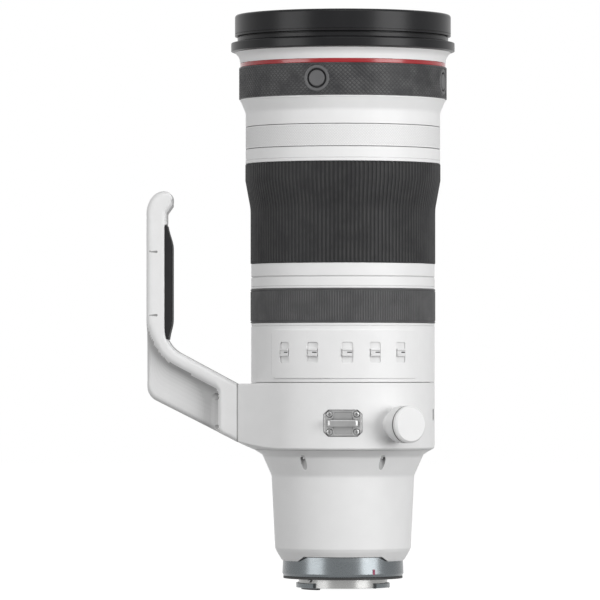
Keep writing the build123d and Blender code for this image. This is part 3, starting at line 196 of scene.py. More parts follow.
def lathe(name, line, segments=256, shape=None, angles=None, matrix=HERE):
    """Closed (radius, height) line turned round the axis, counter-clockwise in section.
    shape(angle, radius, height) may change the radius."""
    if angles is None:
        angles = np.arange(segments) / segments * 2 * pi
    radius, height = np.array(line, float).T
    around = np.asarray(angles)[:, None]
    reach = (shape(around, radius, height) if shape else radius) + 0 * around
    points = np.stack([reach * np.sin(around), -reach * np.cos(around), height + 0 * reach], -1)
    return mesh_object(name, points.reshape(-1, 3), grid_faces(len(angles), len(line)), matrix)


def sector(name, line, middle, span, steps):
    """Closed (radius, height) line turned part of the way, with flat ends to be flipped."""
    turns = np.radians(middle - span / 2 + np.arange(steps + 1) / steps * span)
    points = [polar(r, turn, z) for turn in turns for r, z in line]
    return mesh_object(name, points, swept_faces(steps + 1, len(line)))


def prism(name, outline, low, high, matrix=HERE):
    """Flat outline, counter-clockwise, pulled along Z."""
    count = len(outline)
    points = [(x, y, z) for z in (low, high) for x, y in outline]
    faces = [[i, (i + 1) % count, count + (i + 1) % count, count + i] for i in range(count)]
    return mesh_object(name, points, faces + end_faces(2, count), matrix)


def drill(radius, count, low, high, place):
    """Round cutter."""
    return prism("drill", circle(radius, count), low, high, place)


def applied(piece):
    """Makes a piece's modifiers part of its mesh."""
    bpy.context.view_layer.update()
    shown = piece.evaluated_get(bpy.context.evaluated_depsgraph_get())
    mesh = bpy.data.meshes.new_from_object(shown)
    piece.modifiers.clear()
    piece.data = mesh


def carve(piece, cutters, operation="DIFFERENCE"):
    """Cuts the cutters out of a piece, or keeps what they share, and removes them."""
    for cutter in cutters:
        cut = piece.modifiers.new("carve", "BOOLEAN")
        cut.operation, cut.solver, cut.object = operation, "EXACT", cutter
    applied(piece)
    for cutter in cutters:
        bpy.data.objects.remove(cutter)
    return piece


@contextmanager
def editing(piece):
    work = bmesh.new()
    work.from_mesh(piece.data)
    yield work
    work.to_mesh(piece.data)
    work.free()


def bevelled(piece, width, limit=40):
    """Rounds the edges that turn by more than the limit."""
    with editing(piece) as work:
        bmesh.ops.remove_doubles(work, verts=work.verts, dist=1e-7)
        sharp = [e for e in work.edges
                 if len(e.link_faces) == 2 and e.calc_face_angle(0) > radians(limit)]
        bmesh.ops.bevel(work, geom=sharp, offset=width * MM, segments=2, profile=0.5,
                        affect="EDGES", clamp_overlap=True)
    return piece


def wrapped(piece, angle, height, radius, step=1.0):
    """Bends a flat piece, made in local X, Y and depth Z, onto a barrel of that radius."""
    with editing(piece) as work:
        xs = [v.co.x for v in work.verts]
        for k in range(int(min(xs) / (step * MM)), int(max(xs) / (step * MM)) + 1):
            bmesh.ops.bisect_plane(work, geom=work.verts[:] + work.edges[:] + work.faces[:],
                                   plane_co=(k * step * MM, 0, 0), plane_no=(1, 0, 0))
        for v in work.verts:
            turn = radians(angle) + v.co.x / (radius * MM)
            v.co = polar(radius * MM + v.co.z, turn, height * MM + v.co.y)
    return piece


def flip(piece):
    """Turns the faces of a closed piece outwards."""
    with editing(piece) as work:
        bmesh.ops.recalc_face_normals(work, faces=work.faces)
    return piece


def read(items, key, width=1, kind=float):
    """One property of all items, as an array."""
    values = np.empty(len(items) * width, kind)
    items.foreach_get(key, values)
    return values if width == 1 else values.reshape(-1, width)


def mark_wear(mesh):
    """Stores how far each face is on a raised edge (wear) or in a corner (grime)."""
    least_turn, turn_span = 0.12, 0.25
    faces = len(mesh.polygons)
    normals, centres = read(mesh.polygons, "normal", 3), read(mesh.polygons, "center", 3)
    owner = np.repeat(np.arange(faces), read(mesh.polygons, "loop_total", 1, int))
    loop_edges, ends = read(mesh.loops, "edge_index", 1, int), read(mesh.edges, "vertices", 2, int)
    places = read(mesh.vertices, "co", 3)
    length = np.linalg.norm(places[ends[:, 0]] - places[ends[:, 1]], axis=1)
    order = np.argsort(loop_edges, kind="stable")
    found, start, count = np.unique(loop_edges[order], return_index=True, return_counts=True)
    found, start = found[count == 2], start[count == 2]
    one, two = owner[order[start]], owner[order[start + 1]]
    turn = np.arccos(np.clip((normals[one] * normals[two]).sum(1), -1, 1))
    convex = ((centres[two] - centres[one]) * normals[one]).sum(1) < 0
    amount = np.clip((turn - least_turn) / turn_span, 0, 1) * length[found]
    around = np.maximum(np.bincount(owner, length[loop_edges], faces), 1e-9)
    for label, chosen in (("wear", convex), ("grime", ~convex)):
        values = sum(np.bincount(side, amount * chosen, faces) for side in (one, two)) / around
        mesh.attributes.new(label, "FLOAT", "FACE").data.foreach_set("value", values)


def paint_shade(piece, inside, amount, matrix=HERE):
    """Paints shade onto the faces that lie in a gap or a hole: their colour is darkened to stand
    in for the shadow there.
    """
    mesh = piece.data
    x, y, z = moved(read(mesh.polygons, "center", 3) / MM, matrix.inverted()).T
    painted_shade = mesh.attributes.get("painted_shade") or mesh.attributes.new("painted_shade", "FLOAT", "FACE")
    values = np.where(inside(x, y, z, np.hypot(x, y)), amount, read(painted_shade.data, "value"))
    painted_shade.data.foreach_set("value", values)


def finish(piece, material, node=None, body="barrel", sharp=38):
    """Shades a piece, dresses it and hangs it on its body. Its one slot holds the material."""
    mesh = piece.data
    mesh.materials.clear()
    mesh.materials.append(material)
    mesh.shade_smooth()
    mesh.set_sharp_from_angle(angle=radians(sharp))
    piece.modifiers.new("normals", "WEIGHTED_NORMAL").keep_sharp = True
    applied(piece)
    mark_wear(piece.data)
    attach(piece, body)
    if node:
        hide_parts(node)
    return piece


# Materials

def fresh_tree(owner):
    owner.use_nodes = True
    owner.node_tree.nodes.clear()
    return owner.node_tree


def add(tree, kind, inputs=None, **settings):
    node = tree.nodes.new("ShaderNode" + kind)
    for key, value in settings.items():
        setattr(node, key, value)
    for key, value in (inputs or {}).items():
        if isinstance(value, bpy.types.NodeSocket):
            tree.links.new(value, node.inputs[key])
        else:
            node.inputs[key].default_value = value
    return node


def noise(tree, place, scale, detail):
    inputs = {"Vector": place, "Scale": scale, "Detail": detail}
    return add(tree, "TexNoise", inputs).outputs[0]


def mixed(tree, factor, first, second):
    """Colour between two colours."""
    return add(tree, "Mix", {0: factor, 6: first, 7: second}, data_type="RGBA").outputs[2]


def ranged(tree, value, low, high, from_low=0.0, from_high=1.0):
    inputs = {"Value": value, "From Min": from_low, "From Max": from_high,
              "To Min": low, "To Max": high}
    return add(tree, "MapRange", inputs).outputs[0]


def calculated(tree, operation, first, second):
    return add(tree, "Math", {0: first, 1: second}, operation=operation).outputs[0]


def marked(tree, label):
    return add(tree, "Attribute", attribute_name=label).outputs["Fac"]


def shade(colour, factor=1.0):
    """A colour, or a grey given as one number, made lighter or darker."""
    parts = (colour,) * 3 if isinstance(colour, float) else colour
    return (*[min(1.0, part * factor) for part in parts], 1.0)


def surface(name, colour, rough, grain, mottle, metallic=0.0, edge=None, wear=0.0, grime=0.0,
            coat=0.0, brushed=0.0, specular=0.5, with_painted_shade=False):
    """Paint, rubber, plastic or metal with patchy colour, a grain of some strength and size
    in millimetres, worn edges, dirty corners and, if asked, painted shade in gaps and holes."""
    patch, grain_depth = 9.0, 0.00005
    strength, size = grain
    material = bpy.data.materials.new(name)
    tree = fresh_tree(material)
    place = add(tree, "TexCoord").outputs["Object"]
    broad = noise(tree, place, 1000 / patch, 4.0)
    if brushed:
        place = add(tree, "Mapping", {"Vector": place, "Scale": (1.0, 1.0, brushed)}).outputs[0]
    fine = noise(tree, place, 1000 / size, 3.0 if brushed else 2.0)
    base = mixed(tree, ranged(tree, broad, 0, 1, 0.3, 0.7),
                 shade(colour, 1 - mottle), shade(colour, 1 + mottle))
    base = mixed(tree, ranged(tree, fine, 0, mottle * 2, 0.35, 0.65), base, shade(colour, 0.8))
    if wear:
        worn = ranged(tree, broad, 0, wear, 0.35, 0.6)
        worn = calculated(tree, "MULTIPLY", marked(tree, "wear"), worn)
        base = mixed(tree, worn, base, shade(edge))
    if grime:
        dirty = ranged(tree, broad, grime * 0.4, grime)
        dirty = calculated(tree, "MULTIPLY", marked(tree, "grime"), dirty)
        base = mixed(tree, dirty, base, shade(colour, 0.35))
    # Painted shade: faces marked as lying in gaps and holes are darkened towards near-black.
    if with_painted_shade:
        base = mixed(tree, marked(tree, "painted_shade"), base, shade(0.02))
    bump = {"Height": fine, "Strength": strength, "Distance": grain_depth}
    shader = add(tree, "BsdfPrincipled", {
        "Base Color": base, "Metallic": metallic, "Coat Weight": coat, "Coat Roughness": 0.12,
        "Specular IOR Level": specular,
        "Roughness": ranged(tree, fine, rough * 0.85, min(1.0, rough * 1.15)),
        "Normal": add(tree, "Bump", bump).outputs[0],
    })
    add(tree, "OutputMaterial", {0: shader.outputs[0]})
    return material


def glass(name, tint, shine):
    """Coated optical glass with a faint cleaning haze."""
    material = bpy.data.materials.new(name)
    tree = fresh_tree(material)
    place = add(tree, "TexCoord").outputs["Object"]
    haze, smear = noise(tree, place, 60.0, 3.0), noise(tree, place, 900.0, 2.0)
    bump = {"Height": smear, "Strength": 0.01, "Distance": 0.00002}
    shader = add(tree, "BsdfPrincipled", {
        "Base Color": mixed(tree, haze, shade(tint), shade(tint, 0.96)), "IOR": 1.5,
        "Roughness": ranged(tree, haze, 0.0, 0.03), "Transmission Weight": 1.0,
        "Specular Tint": shade(shine), "Normal": add(tree, "Bump", bump).outputs[0],
    })
    add(tree, "OutputMaterial", {0: shader.outputs[0]})
    return material


WHITE = 0.83
paint = surface("white_paint", WHITE, 0.5, (0.25, 0.35), 0.012, edge=0.9, wear=0.25, grime=0.35,
                coat=0.03, with_painted_shade=True)
knurl_paint = surface("white_control_grip", WHITE, 0.5, (0.2, 0.3), 0.012, edge=0.92, wear=0.3,
                      grime=0.5, with_painted_shade=True)
gloss_black = surface("black_gloss", (0.008, 0.008, 0.009), 0.31, (0.05, 0.5), 0.1, edge=0.03,
                      wear=0.5, specular=0.17)
dark_knurl = surface("dark_knurl", (0.02, 0.02, 0.022), 0.5, (0.3, 0.3), 0.05, edge=0.12,
                     wear=0.9, grime=0.9, specular=0.35)
red = surface("red_paint", (0.33, 0.003, 0.008), 0.25, (0.1, 0.4), 0.05, edge=(0.4, 0.02, 0.03),
              wear=0.4, coat=0.4, specular=0.3)
rubber = surface("grip_rubber", (0.016, 0.016, 0.017), 0.58, (0.5, 0.22), 0.1, edge=0.045,
                 wear=0.5, grime=0.4, specular=0.28)
focus_rubber = surface("focus_rubber", (0.064, 0.064, 0.066), 0.62, (0.4, 0.22), 0.08, edge=0.11,
                       wear=0.6, grime=0.4, specular=0.4)
pad_rubber = surface("pad_rubber", (0.009, 0.009, 0.01), 0.68, (0.8, 0.35), 0.12, edge=0.02,
                     wear=0.5, specular=0.25)
gasket_rubber = surface("gasket_rubber", 0.01, 0.6, (0.4, 0.25), 0.1)
button_rubber = surface("button_rubber", (0.1, 0.1, 0.103), 0.6, (0.7, 0.2), 0.08, edge=0.1,
                        wear=0.5)
switch_plastic = surface("switch_plastic", 0.74, 0.5, (0.35, 0.2), 0.02, edge=0.85, wear=0.4,
                         grime=0.4)
chrome = surface("mount_chrome", (0.135, 0.147, 0.154), 0.27, (0.02, 0.5), 0.015, metallic=1.0,
                 edge=(0.3, 0.31, 0.32), wear=0.3, grime=0.3)
satin = surface("mount_satin", (0.3, 0.3, 0.295), 0.26, (0.05, 0.4), 0.02, metallic=1.0,
                edge=0.6, wear=0.3, grime=0.3)
steel = surface("steel", 0.3, 0.34, (0.1, 0.35), 0.08, metallic=1.0, edge=0.45, wear=0.3,
                grime=0.7, brushed=6.0)
dark_screw = surface("screw_dark", 0.06, 0.38, (0.2, 0.3), 0.15, metallic=0.8, edge=0.3, wear=0.6)
anodised = surface("black_anodised", (0.014, 0.014, 0.015), 0.5, (0.25, 0.3), 0.12, edge=0.06,
                   wear=0.5)
moulded = surface("black_moulded", 0.018, 0.6, (0.4, 0.25), 0.12, edge=0.05, wear=0.4)
flock = surface("baffle_flock", 0.008, 0.95, (1.0, 0.18), 0.3, specular=0.1)
contact_plastic = surface("contact_plastic", (0.02, 0.02, 0.021), 0.5, (0.3, 0.2), 0.1,
                          edge=0.05, wear=0.4)
gold = surface("contact_gold", (0.85, 0.62, 0.27), 0.25, (0.1, 0.2), 0.08, metallic=1.0,
               edge=(0.95, 0.8, 0.5), wear=0.5)
board = surface("board", (0.02, 0.12, 0.05), 0.4, (0.2, 0.6), 0.2)
ink = surface("index_ink", (0.02, 0.02, 0.022), 0.55, (0.2, 0.2), 0.1)
red_ink = surface("index_red", (0.22, 0.01, 0.055), 0.45, (0.2, 0.2), 0.08)
lens_glass = glass("coated_glass", (0.94, 0.97, 0.95), (0.45, 0.9, 0.62))
inner_glass = glass("inner_glass", (0.95, 0.93, 0.97), (0.85, 0.5, 0.95))


# Front end

def thread(pitch, depth, start, low, high, widest):
    """Shape of a thread cut into a bore between two heights."""
    def shape(angle, radius, height):
        phase = ((height - start) / pitch + angle / (2 * pi)) % 1
        cut = depth * (1 - np.abs(phase * 2 - 1))
        return radius + np.where((height > low) & (height < high) & (radius < widest), cut, 0)
    return shape


def make_front_ring():
    low, high, bore, inner = FRONT_LOW, FRONT_HIGH, 56.0, 54.8
    thread_low, groove = high - 5.5, FRONT_RING - 0.35
    line = rounded([
        (inner, low), (62.6, low), (FLANGE, low + 0.7, 0.4), (FLANGE, 307.3, 0.5),
        (61.2, 307.9, 0.3), (60.8, 308.2), (60.8, 310.3, 0.2), (60.1, 310.5), (60.1, 310.8),
        (FRONT_RING, 311.1, 0.3), (FRONT_RING, 312.1), (groove, 312.2), (groove, 312.5),
        (FRONT_RING, 312.6), (FRONT_RING, high, 1.5), (bore, high, 0.12)], 6)
    line += [(bore, high - 0.15 - i * 0.125) for i in range(42)]
    line += [(bore, thread_low), (inner, thread_low)]
    cut = thread(0.75, 0.33, thread_low, thread_low + 0.1, thread_low + 5.2, FRONT_RING - 3)
    finish(lathe("front_hood_ring", line, 288, cut), gloss_black, "front_ring", sharp=50)


def make_front_cell():
    low, high, bore, outer, pitch = 285.0, 313.5, 52.4, 54.75, 1.5
    line = rounded([(bore, low), (outer, low), (outer, high), (53.4, high, 0.2), (53.4, 304.0),
                    (bore, 304.0)])
    line += [(bore, 303.5 - i * pitch / 2) for i in range(24)]

    def ribs(angle, radius, height):
        ridge = np.abs(((height - low) / pitch) % 1 - 0.5) * 0.9
        return radius + np.where((radius < bore + 0.2) & (height > low + 0.5), ridge, 0)

    finish(lathe("front_lens_cell", line, 192, ribs), anodised, "front_cell")
    line = rounded([(51.45, 310.1, 0.15), (52.35, 309.1), (LENS_SEAT, 309.1),
                    (LENS_SEAT, high, 0.15), (52.7, high, 0.15), (51.45, 312.6, 0.15)])
    slots = [prism("slot", rectangle(6.0, 2.2), 312.5, 315, Matrix.Translation((x, 0, 0)))
             for x in (-52.5, 52.5)]
    ring = carve(lathe("lens_retaining_ring", line, 192), slots)
    finish(ring, anodised, "front_retaining_ring")


def dome(radius, rise, level, steps):
    """Points of a spherical cap from the axis to its rim."""
    sphere = (radius ** 2 + rise ** 2) / (2 * rise)
    reaches = [radius * i / steps for i in range(steps + 1)]
    return [(max(r, 0.01), level + (sphere ** 2 - r ** 2) ** 0.5 - sphere + rise)
            for r in reaches]


def make_front_lens():
    low, high, clear = 304.0, 309.0, LENS_SEAT - 1.9
    rear = [(r, 2 * low - z) for r, z in dome(clear, 2.4, low, 16)]
    line = [*rear, (LENS_SEAT, low), (LENS_SEAT, high), *dome(clear, 8.0, high, 20)[::-1]]
    finish(lathe("front_glass", line, 128), lens_glass, "front_lens")


def make_red_band():
    line = rounded([(BUTTON_BORE, BUTTON_HIGH), (RED_BAND, BUTTON_HIGH, 0.35),
                    (RED_BAND, RED_HIGH, 0.35), (BUTTON_BORE, RED_HIGH)], 5)
    finish(lathe("red_ring", line, 320), red, "red_band")


def make_front_barrel():
    flare = rounded([(RED_BAND, RED_HIGH), (59.9, 299.4, 6.0), (FRONT_RING, FRONT_LOW)], 8, False)
    line = [(SLEEVE_BORE, CONTROL_LOW), (53.4, BUTTON_LOW), (57.2, BUTTON_LOW), (57.2, RED_HIGH),
            *flare, (54.8, FRONT_LOW), (54.8, 285.0), (51.9, BUTTON_LOW), (51.9, CONTROL_LOW)]
    finish(lathe("front_tube", line), paint, "front_barrel")


def knurled_ring(name, bore, skin, low, high, margin, around, parts, rise, depth, wells=()):
    """Ring with diamonds cut into its skin between plain margins, and round wells. Each
    diamond has so many parts around and along."""
    start, end, groove = low + margin, high - margin, 0.42
    count = int((end - start - 0.1) * parts / rise) + 1
    below = rounded([(bore, low), (skin, low, 0.35), (skin, start)], 4, False)[:-1]
    rows = [(skin, start + 0.05 + i * rise / parts) for i in range(count)]
    above = rounded([(skin, end), (skin, high, 0.35), (bore, high)], 4, False)

    def shape(angle, radius, height):
        turns, climb = angle / (2 * pi) * around, (height - start) / rise
        one = np.abs((turns + climb) % 1 - 0.5) * 2
        two = np.abs((turns - climb) % 1 - 0.5) * 2
        cut = depth * (1 - np.clip(np.minimum(one, two) / groove, 0, 1))
        band = (height > start) & (height < end) & (radius > skin - 0.05)
        reach = radius - np.where(band, cut, 0)
        for place in wells:
            off = (angle - radians(place) + pi) % (2 * pi) - pi
            far = np.hypot(off * skin, height - BUTTON_HEIGHT)
            well = (far < WELL_RADIUS) & (radius > skin - 0.1)
            reach = np.where(well, skin - WELL_DEPTH, reach)
        return reach

    return lathe(name, below + rows + above, around * parts, shape)


def make_button_ring():
    ring = knurled_ring("button_band", BUTTON_BORE, BUTTON_RING, BUTTON_LOW, BUTTON_HIGH, 0.7,
                        146, 7, 2.4, 0.45, BUTTON_ANGLES)
    finish(ring, dark_knurl, "button_ring", sharp=70)
    for number, place in enumerate(BUTTON_ANGLES, 1):
        make_bezel(number, place)
        make_button(number, place)


def make_bezel(number, place):
    """Smooth round rim and well that a function button stands in."""
    line = [(5.6, -WELL_DEPTH), (5.6, -0.9), (5.65, -0.5), (5.8, -0.2), (6.05, -0.05),
            (6.35, 0.0), (6.9, -0.01), (7.25, -0.06), (7.42, -0.18), (7.48, -0.4),
            (7.48, -WELL_DEPTH)]
    count, points = 72, []
    for i in range(count):
        turn = 2 * pi * i / count
        points += [polar(BUTTON_RING + rise, radians(place) + far * cos(turn) / BUTTON_RING,
                         BUTTON_HEIGHT + far * sin(turn)) for far, rise in line]
    bezel = mesh_object(f"button_bezel_{number}", points, grid_faces(count, len(line)))
    finish(flip(bezel), button_rubber)


def make_button(number, place):
    low = BUTTON_BORE + 0.95
    top = BUTTON_RING - 0.15 - low
    line = [(0.01, 0.0), (4.6, 0.0), (4.6, top - 0.5), (4.5, top - 0.25), (4.25, top - 0.08),
            (3.9, top), (3.5, top - 0.02), (2.0, top - 0.12), (0.01, top - 0.16)]
    cap = lathe(f"button_cap_{number}", line, 64, matrix=outward(place, BUTTON_HEIGHT, low))
    finish(cap, button_rubber, f"function_button_{number}", f"button_{number}")


def make_control_rings():
    skin, seam = FRONT_BARREL, 0.3
    line = rounded([
        (SLEEVE_BORE, CONTROL_HIGH), (skin, CONTROL_HIGH, 0.35), (skin, 266.98, 6.0),
        (RED_BAND - 0.3, BUTTON_LOW - 1.0, 0.25), (RED_BAND, BUTTON_LOW - 0.9, 0.1),
        (RED_BAND, BUTTON_LOW), (SLEEVE_BORE, BUTTON_LOW)], 8)
    sleeve = finish(lathe("front_sleeve", line), paint, "control_barrel")
    # Painted shade in the seam at the sleeve's lower end; seam is how dark the shade painted into
    # these seams is.
    paint_shade(sleeve, lambda x, y, z, r: (r < skin - 0.1) & (z < 262), seam)
    ring = knurled_ring("control_band", SLEEVE_BORE, skin, CONTROL_LOW + 0.3, CONTROL_HIGH - 0.3,
                        0.75, 226, 6, 1.6, 0.16)
    finish(ring, knurl_paint, "control_ring", "control_grip", sharp=70)
    # Painted shade in the seams at the ring's ends.
    paint_shade(ring, lambda x, y, z, r: r < skin - 0.25, seam)
    line = rounded([
        (SLEEVE_BORE, ZOOM_HIGH), (skin, ZOOM_HIGH, 0.3), (skin, 239.3), (55.8, 239.4),
        (55.8, 239.6), (skin, 239.7), (skin, CONTROL_LOW, 0.35), (SLEEVE_BORE, CONTROL_LOW)])
    skirt = finish(lathe("skirt_band", line), paint, "front_skirt")
    # Painted shade in the seam at the skirt's upper end.
    paint_shade(skirt, lambda x, y, z, r: (r < skin - 0.1) & (z > 242), seam)


# Grips

def ribbed(name, line, count, fractions, depths, skin):
    """Turned grip with ribs: each fraction of a rib's pitch has its own depth."""
    def shape(angle, radius, height):
        phase = (angle / (2 * pi) * count + 1e-6) % 1
        depth = np.interp(phase, [*fractions, 1.0], [*depths, depths[0]])
        return radius - np.where(radius > skin(height) - 0.02, depth, 0)

    angles = [2 * pi * (i + f) / count for i in range(count) for f in fractions]
    return lathe(name, line, shape=shape, angles=angles)


def make_zoom_grip():
    low, high = ZOOM_LOW + 0.15, ZOOM_HIGH - 0.15
    bends = [209.0, 211.5, 213.3, 214.4, 227.9]
    radii = [GRIP, GRIP + 0.08, GRIP + 0.3, GRIP + 0.5, GRIP_WIDE]

    def skin(height):
        return np.interp(height, bends, radii)

    heights = [low + 0.5, low + 1.2, *bends, high - 1.2, high - 0.5]
    line = [(GRIP_BORE, low), (GRIP - 0.5, low), (GRIP - 0.12, low + 0.15),
            *[(float(skin(h)), h) for h in heights], (GRIP_WIDE - 0.12, high - 0.15),
            (GRIP_WIDE - 0.5, high), (54.4, high), (54.4, 228.5), (GRIP_BORE, 214.0)]
    grip = ribbed("zoom_grip", line, 144, [0.0, 0.05, 0.14, 0.41, 0.5, 0.55, 0.62, 0.93],
                  [0.4, 0.1, 0.0, 0.0, 0.1, 0.4, 0.55, 0.55], skin)
    finish(grip, rubber, "zoom_rubber", "zoom_grip", sharp=55)


def make_focus_grip():
    low, high = FOCUS_LOW + 0.15, FOCUS_HIGH - 0.15
    rim = [(GRIP_BORE, 0), (GRIP - 0.3, 0), (GRIP - 0.03, 0.3), (GRIP - 0.03, 0.8),
           (GRIP - 0.35, 0.95), (GRIP - 0.35, 1.25), (GRIP, 1.4), (GRIP, 1.8)]
    line = [(r, low + z) for r, z in rim] + [(r, high - z) for r, z in rim[::-1]]

    def skin(height):
        return np.where((height > low + 1.3) & (height < high - 1.3), GRIP, GRIP + 1)

    grip = ribbed("focus_grip", line, 226, [0.0, 0.1, 0.45, 0.55, 0.65, 0.9],
                  [0.25, 0.0, 0.0, 0.25, 0.3, 0.3], skin)
    finish(grip, focus_rubber, "focus_rubber", "focus_grip", sharp=55)


# Barrels

def make_middle_barrel():
    low, high, bore = FOCUS_HIGH, ZOOM_LOW, 50.65
    line = rounded([
        (bore, low), (BARREL, low, 0.25), (BARREL, 166.5), (52.7, 166.65), (52.7, 166.85),
        (BARREL, 167.0), (BARREL, 171.9), (52.4, 172.1), (52.4, 172.5), (BARREL, 172.7),
        (BARREL, high, 0.25), (bore, high)])
    band = finish(lathe("middle_band", line), paint, "middle_barrel")
    # Painted shade in the two grooves and at the band's ends.
    paint_shade(band, lambda x, y, z, r: (r < 52.75) & (r > 52), 0.2)


def make_main_barrel():
    line = rounded([
        (33.05, COLLAR_LOW), (49.9, COLLAR_LOW), (49.9, COLLAR_HIGH), (BARREL, COLLAR_HIGH, 0.3),
        (BARREL, 143.9), (52.4, 144.0), (52.4, 144.3), (BARREL, 144.4), (BARREL, FOCUS_LOW, 0.25),
        (50.6, FOCUS_LOW), (50.6, 243.0), (48.6, 243.0), (48.6, 116.0), (47.6, 116.0),
        (47.6, 78.0), (33.05, 78.0)])
    pockets = [prism("pocket", rectangle(8.0, 20.9), 50.65, 56, outward(angle, SWITCH_HEIGHT))
               for angle in SWITCH_ANGLES]
    barrel = finish(carve(lathe("main_tube", line), pockets), paint, "main_barrel")
    # Painted shade where the barrel goes in under the collar: its step and the wall beneath.
    paint_shade(barrel, lambda x, y, z, r: (r < BARREL - 0.1) & (r > 49) & (z < COLLAR_HIGH + 0.3), 0.5)


def make_switch_panel():
    """Plate with five windows, raised a little more left of the step."""
    left, right, step, under, top = -49.5, 54.0, -8.2, 0.06, 0.5
    middle = (left + right) / 2
    outline = rectangle(radians(right - left) * BARREL - 0.1, 27.5, 3.0, 8)
    plate = prism("switch_plate", outline, under, top)
    windows = []
    for angle in SWITCH_ANGLES:
        across = radians(angle - middle) * BARREL
        shift = Matrix.Translation((across, SWITCH_HEIGHT - PANEL_HEIGHT, 0))
        windows.append(prism("window", rectangle(6.4, 11.8, 1.2, 5), -2, 3, shift))
    bevelled(carve(plate, windows), 0.38)
    for v in plate.data.vertices:
        off = radians(step - middle) * BARREL - v.co.x / MM
        share = min(1.0, max(0.0, (v.co.z / MM - under) / 0.24))
        v.co.z += 0.4 * MM * float(smooth(off / 2.5)) * share
    wrapped(plate, middle, PANEL_HEIGHT, BARREL, 0.5)
    finish(plate, paint, "switch_panel", sharp=30)

    # Painted shade along the plate's bottom edge and its left end, stronger on the raised part
    # left of the step.
    x, y, z = (read(plate.data.polygons, "center", 3) / MM).T
    turn = np.degrees(np.arctan2(x, -y))
    edges = (z < 114.6) | (turn < left + 0.5)
    paint_shade(plate, lambda *place: edges, np.where(turn < step, 0.45, 0.22))


def make_switches():
    sideways = Matrix(((0, 0, 1, 0), (1, 0, 0, 0), (0, 1, 0, 0), (0, 0, 0, 1)))
    profile = rounded([
        (-2.25, 52.3), (2.25, 52.3), (2.25, 54.4, 0.45), (1.15, 54.4, 0.25), (0.95, 53.95, 0.2),
        (-0.95, 53.95, 0.2), (-1.15, 54.4, 0.25), (-2.25, 54.4, 0.45)])
    for number, angle in enumerate(SWITCH_ANGLES, 1):
        body, place = f"slider_{number}", outward(angle, SWITCH_HEIGHT)
        base = prism(f"slider_base_{number}", rectangle(7.7, 16.6, 0.3), 50.75, 52.7, place)
        finish(bevelled(base, 0.12), switch_plastic, f"switch_{number}", body)
        ridge = prism(f"slider_ridge_{number}", profile, -2.8, 2.8, place @ sideways)
        finish(bevelled(ridge, 0.15), switch_plastic, None, body)
        mark = prism(f"slider_mark_{number}", rectangle(2.7, 0.62, 0.12), 53.9, 53.99,
                     place @ Matrix.Translation((1.3, 0.1, 0)))
        finish(mark, ink, None, body)


def make_rear_barrel():
    top, wide = 46.5, 26.0
    line = rounded([(27.5, MOUNT_HIGH), (MOUNT, MOUNT_HIGH), (35.8, 10.3, 0.6), (38.4, 14.8, 1.2),
                    (39.1, 16.5, 2.0), (41.15, 58.2, 6.0), (top, REAR_HIGH)], 6, False)
    r, z = line[-2]
    line[-1:] = [(r + (top - r) * k / 6, z + (REAR_HIGH - z) * k / 6) for k in range(1, 7)]
    line += [(51.2, COLLAR_LOW), (36.85, COLLAR_LOW), (36.85, 19.0), (33.05, 17.5),
             (33.05, 12.0), (27.5, 12.0)]
    cutters = []
    for angle in REAR_SCREW_ANGLES:
        place = upward(angle, REAR_POCKET_CIRCLE, 0)
        cutters += [drill(1.85, 32, 48.0, 69.3, place), drill(1.25, 24, 68.0, 75.0, place)]
    notch = [(-wide, 7.0), (wide, 7.0), (wide, MOUNT_HIGH - 0.1), (22.3, 12.1), (-22.3, 12.1),
             (-wide, MOUNT_HIGH - 0.1)]
    for side in (0, 180):
        turned = Matrix.Rotation(radians(side), 4, "Z") @ Matrix.Rotation(radians(90), 4, "X")
        keep = lathe("keep", [(32.9, 5.0), (90.0, 5.0), (90.0, 14.0), (32.9, 14.0)], 128)
        cutters.append(carve(prism("wedge", notch, 20.0, 60.0, turned), [keep], "INTERSECT"))
    barrel = finish(carve(lathe("rear_shell", line), cutters), paint, "rear_barrel")

    # Painted shade inside the screw pockets.
    def shaded_pockets(x, y, z, r):
        turn = np.degrees(np.arctan2(x, -y))
        nearest = np.radians(np.round((turn - 30) / 60) * 60 + 30)
        off = np.hypot(x - REAR_POCKET_CIRCLE * np.sin(nearest),
                       y + REAR_POCKET_CIRCLE * np.cos(nearest))
        return (off < 1.86) & (z > 55) & (z < 75)

    paint_shade(barrel, shaded_pockets, 0.45)
    places = [upward(angle, 43.9, 68.0) @ TURNED_OVER for angle in REAR_SCREW_ANGLES]
    make_screws("rear_screw", "rear_barrel_screws", places, 1.15, 1.5)


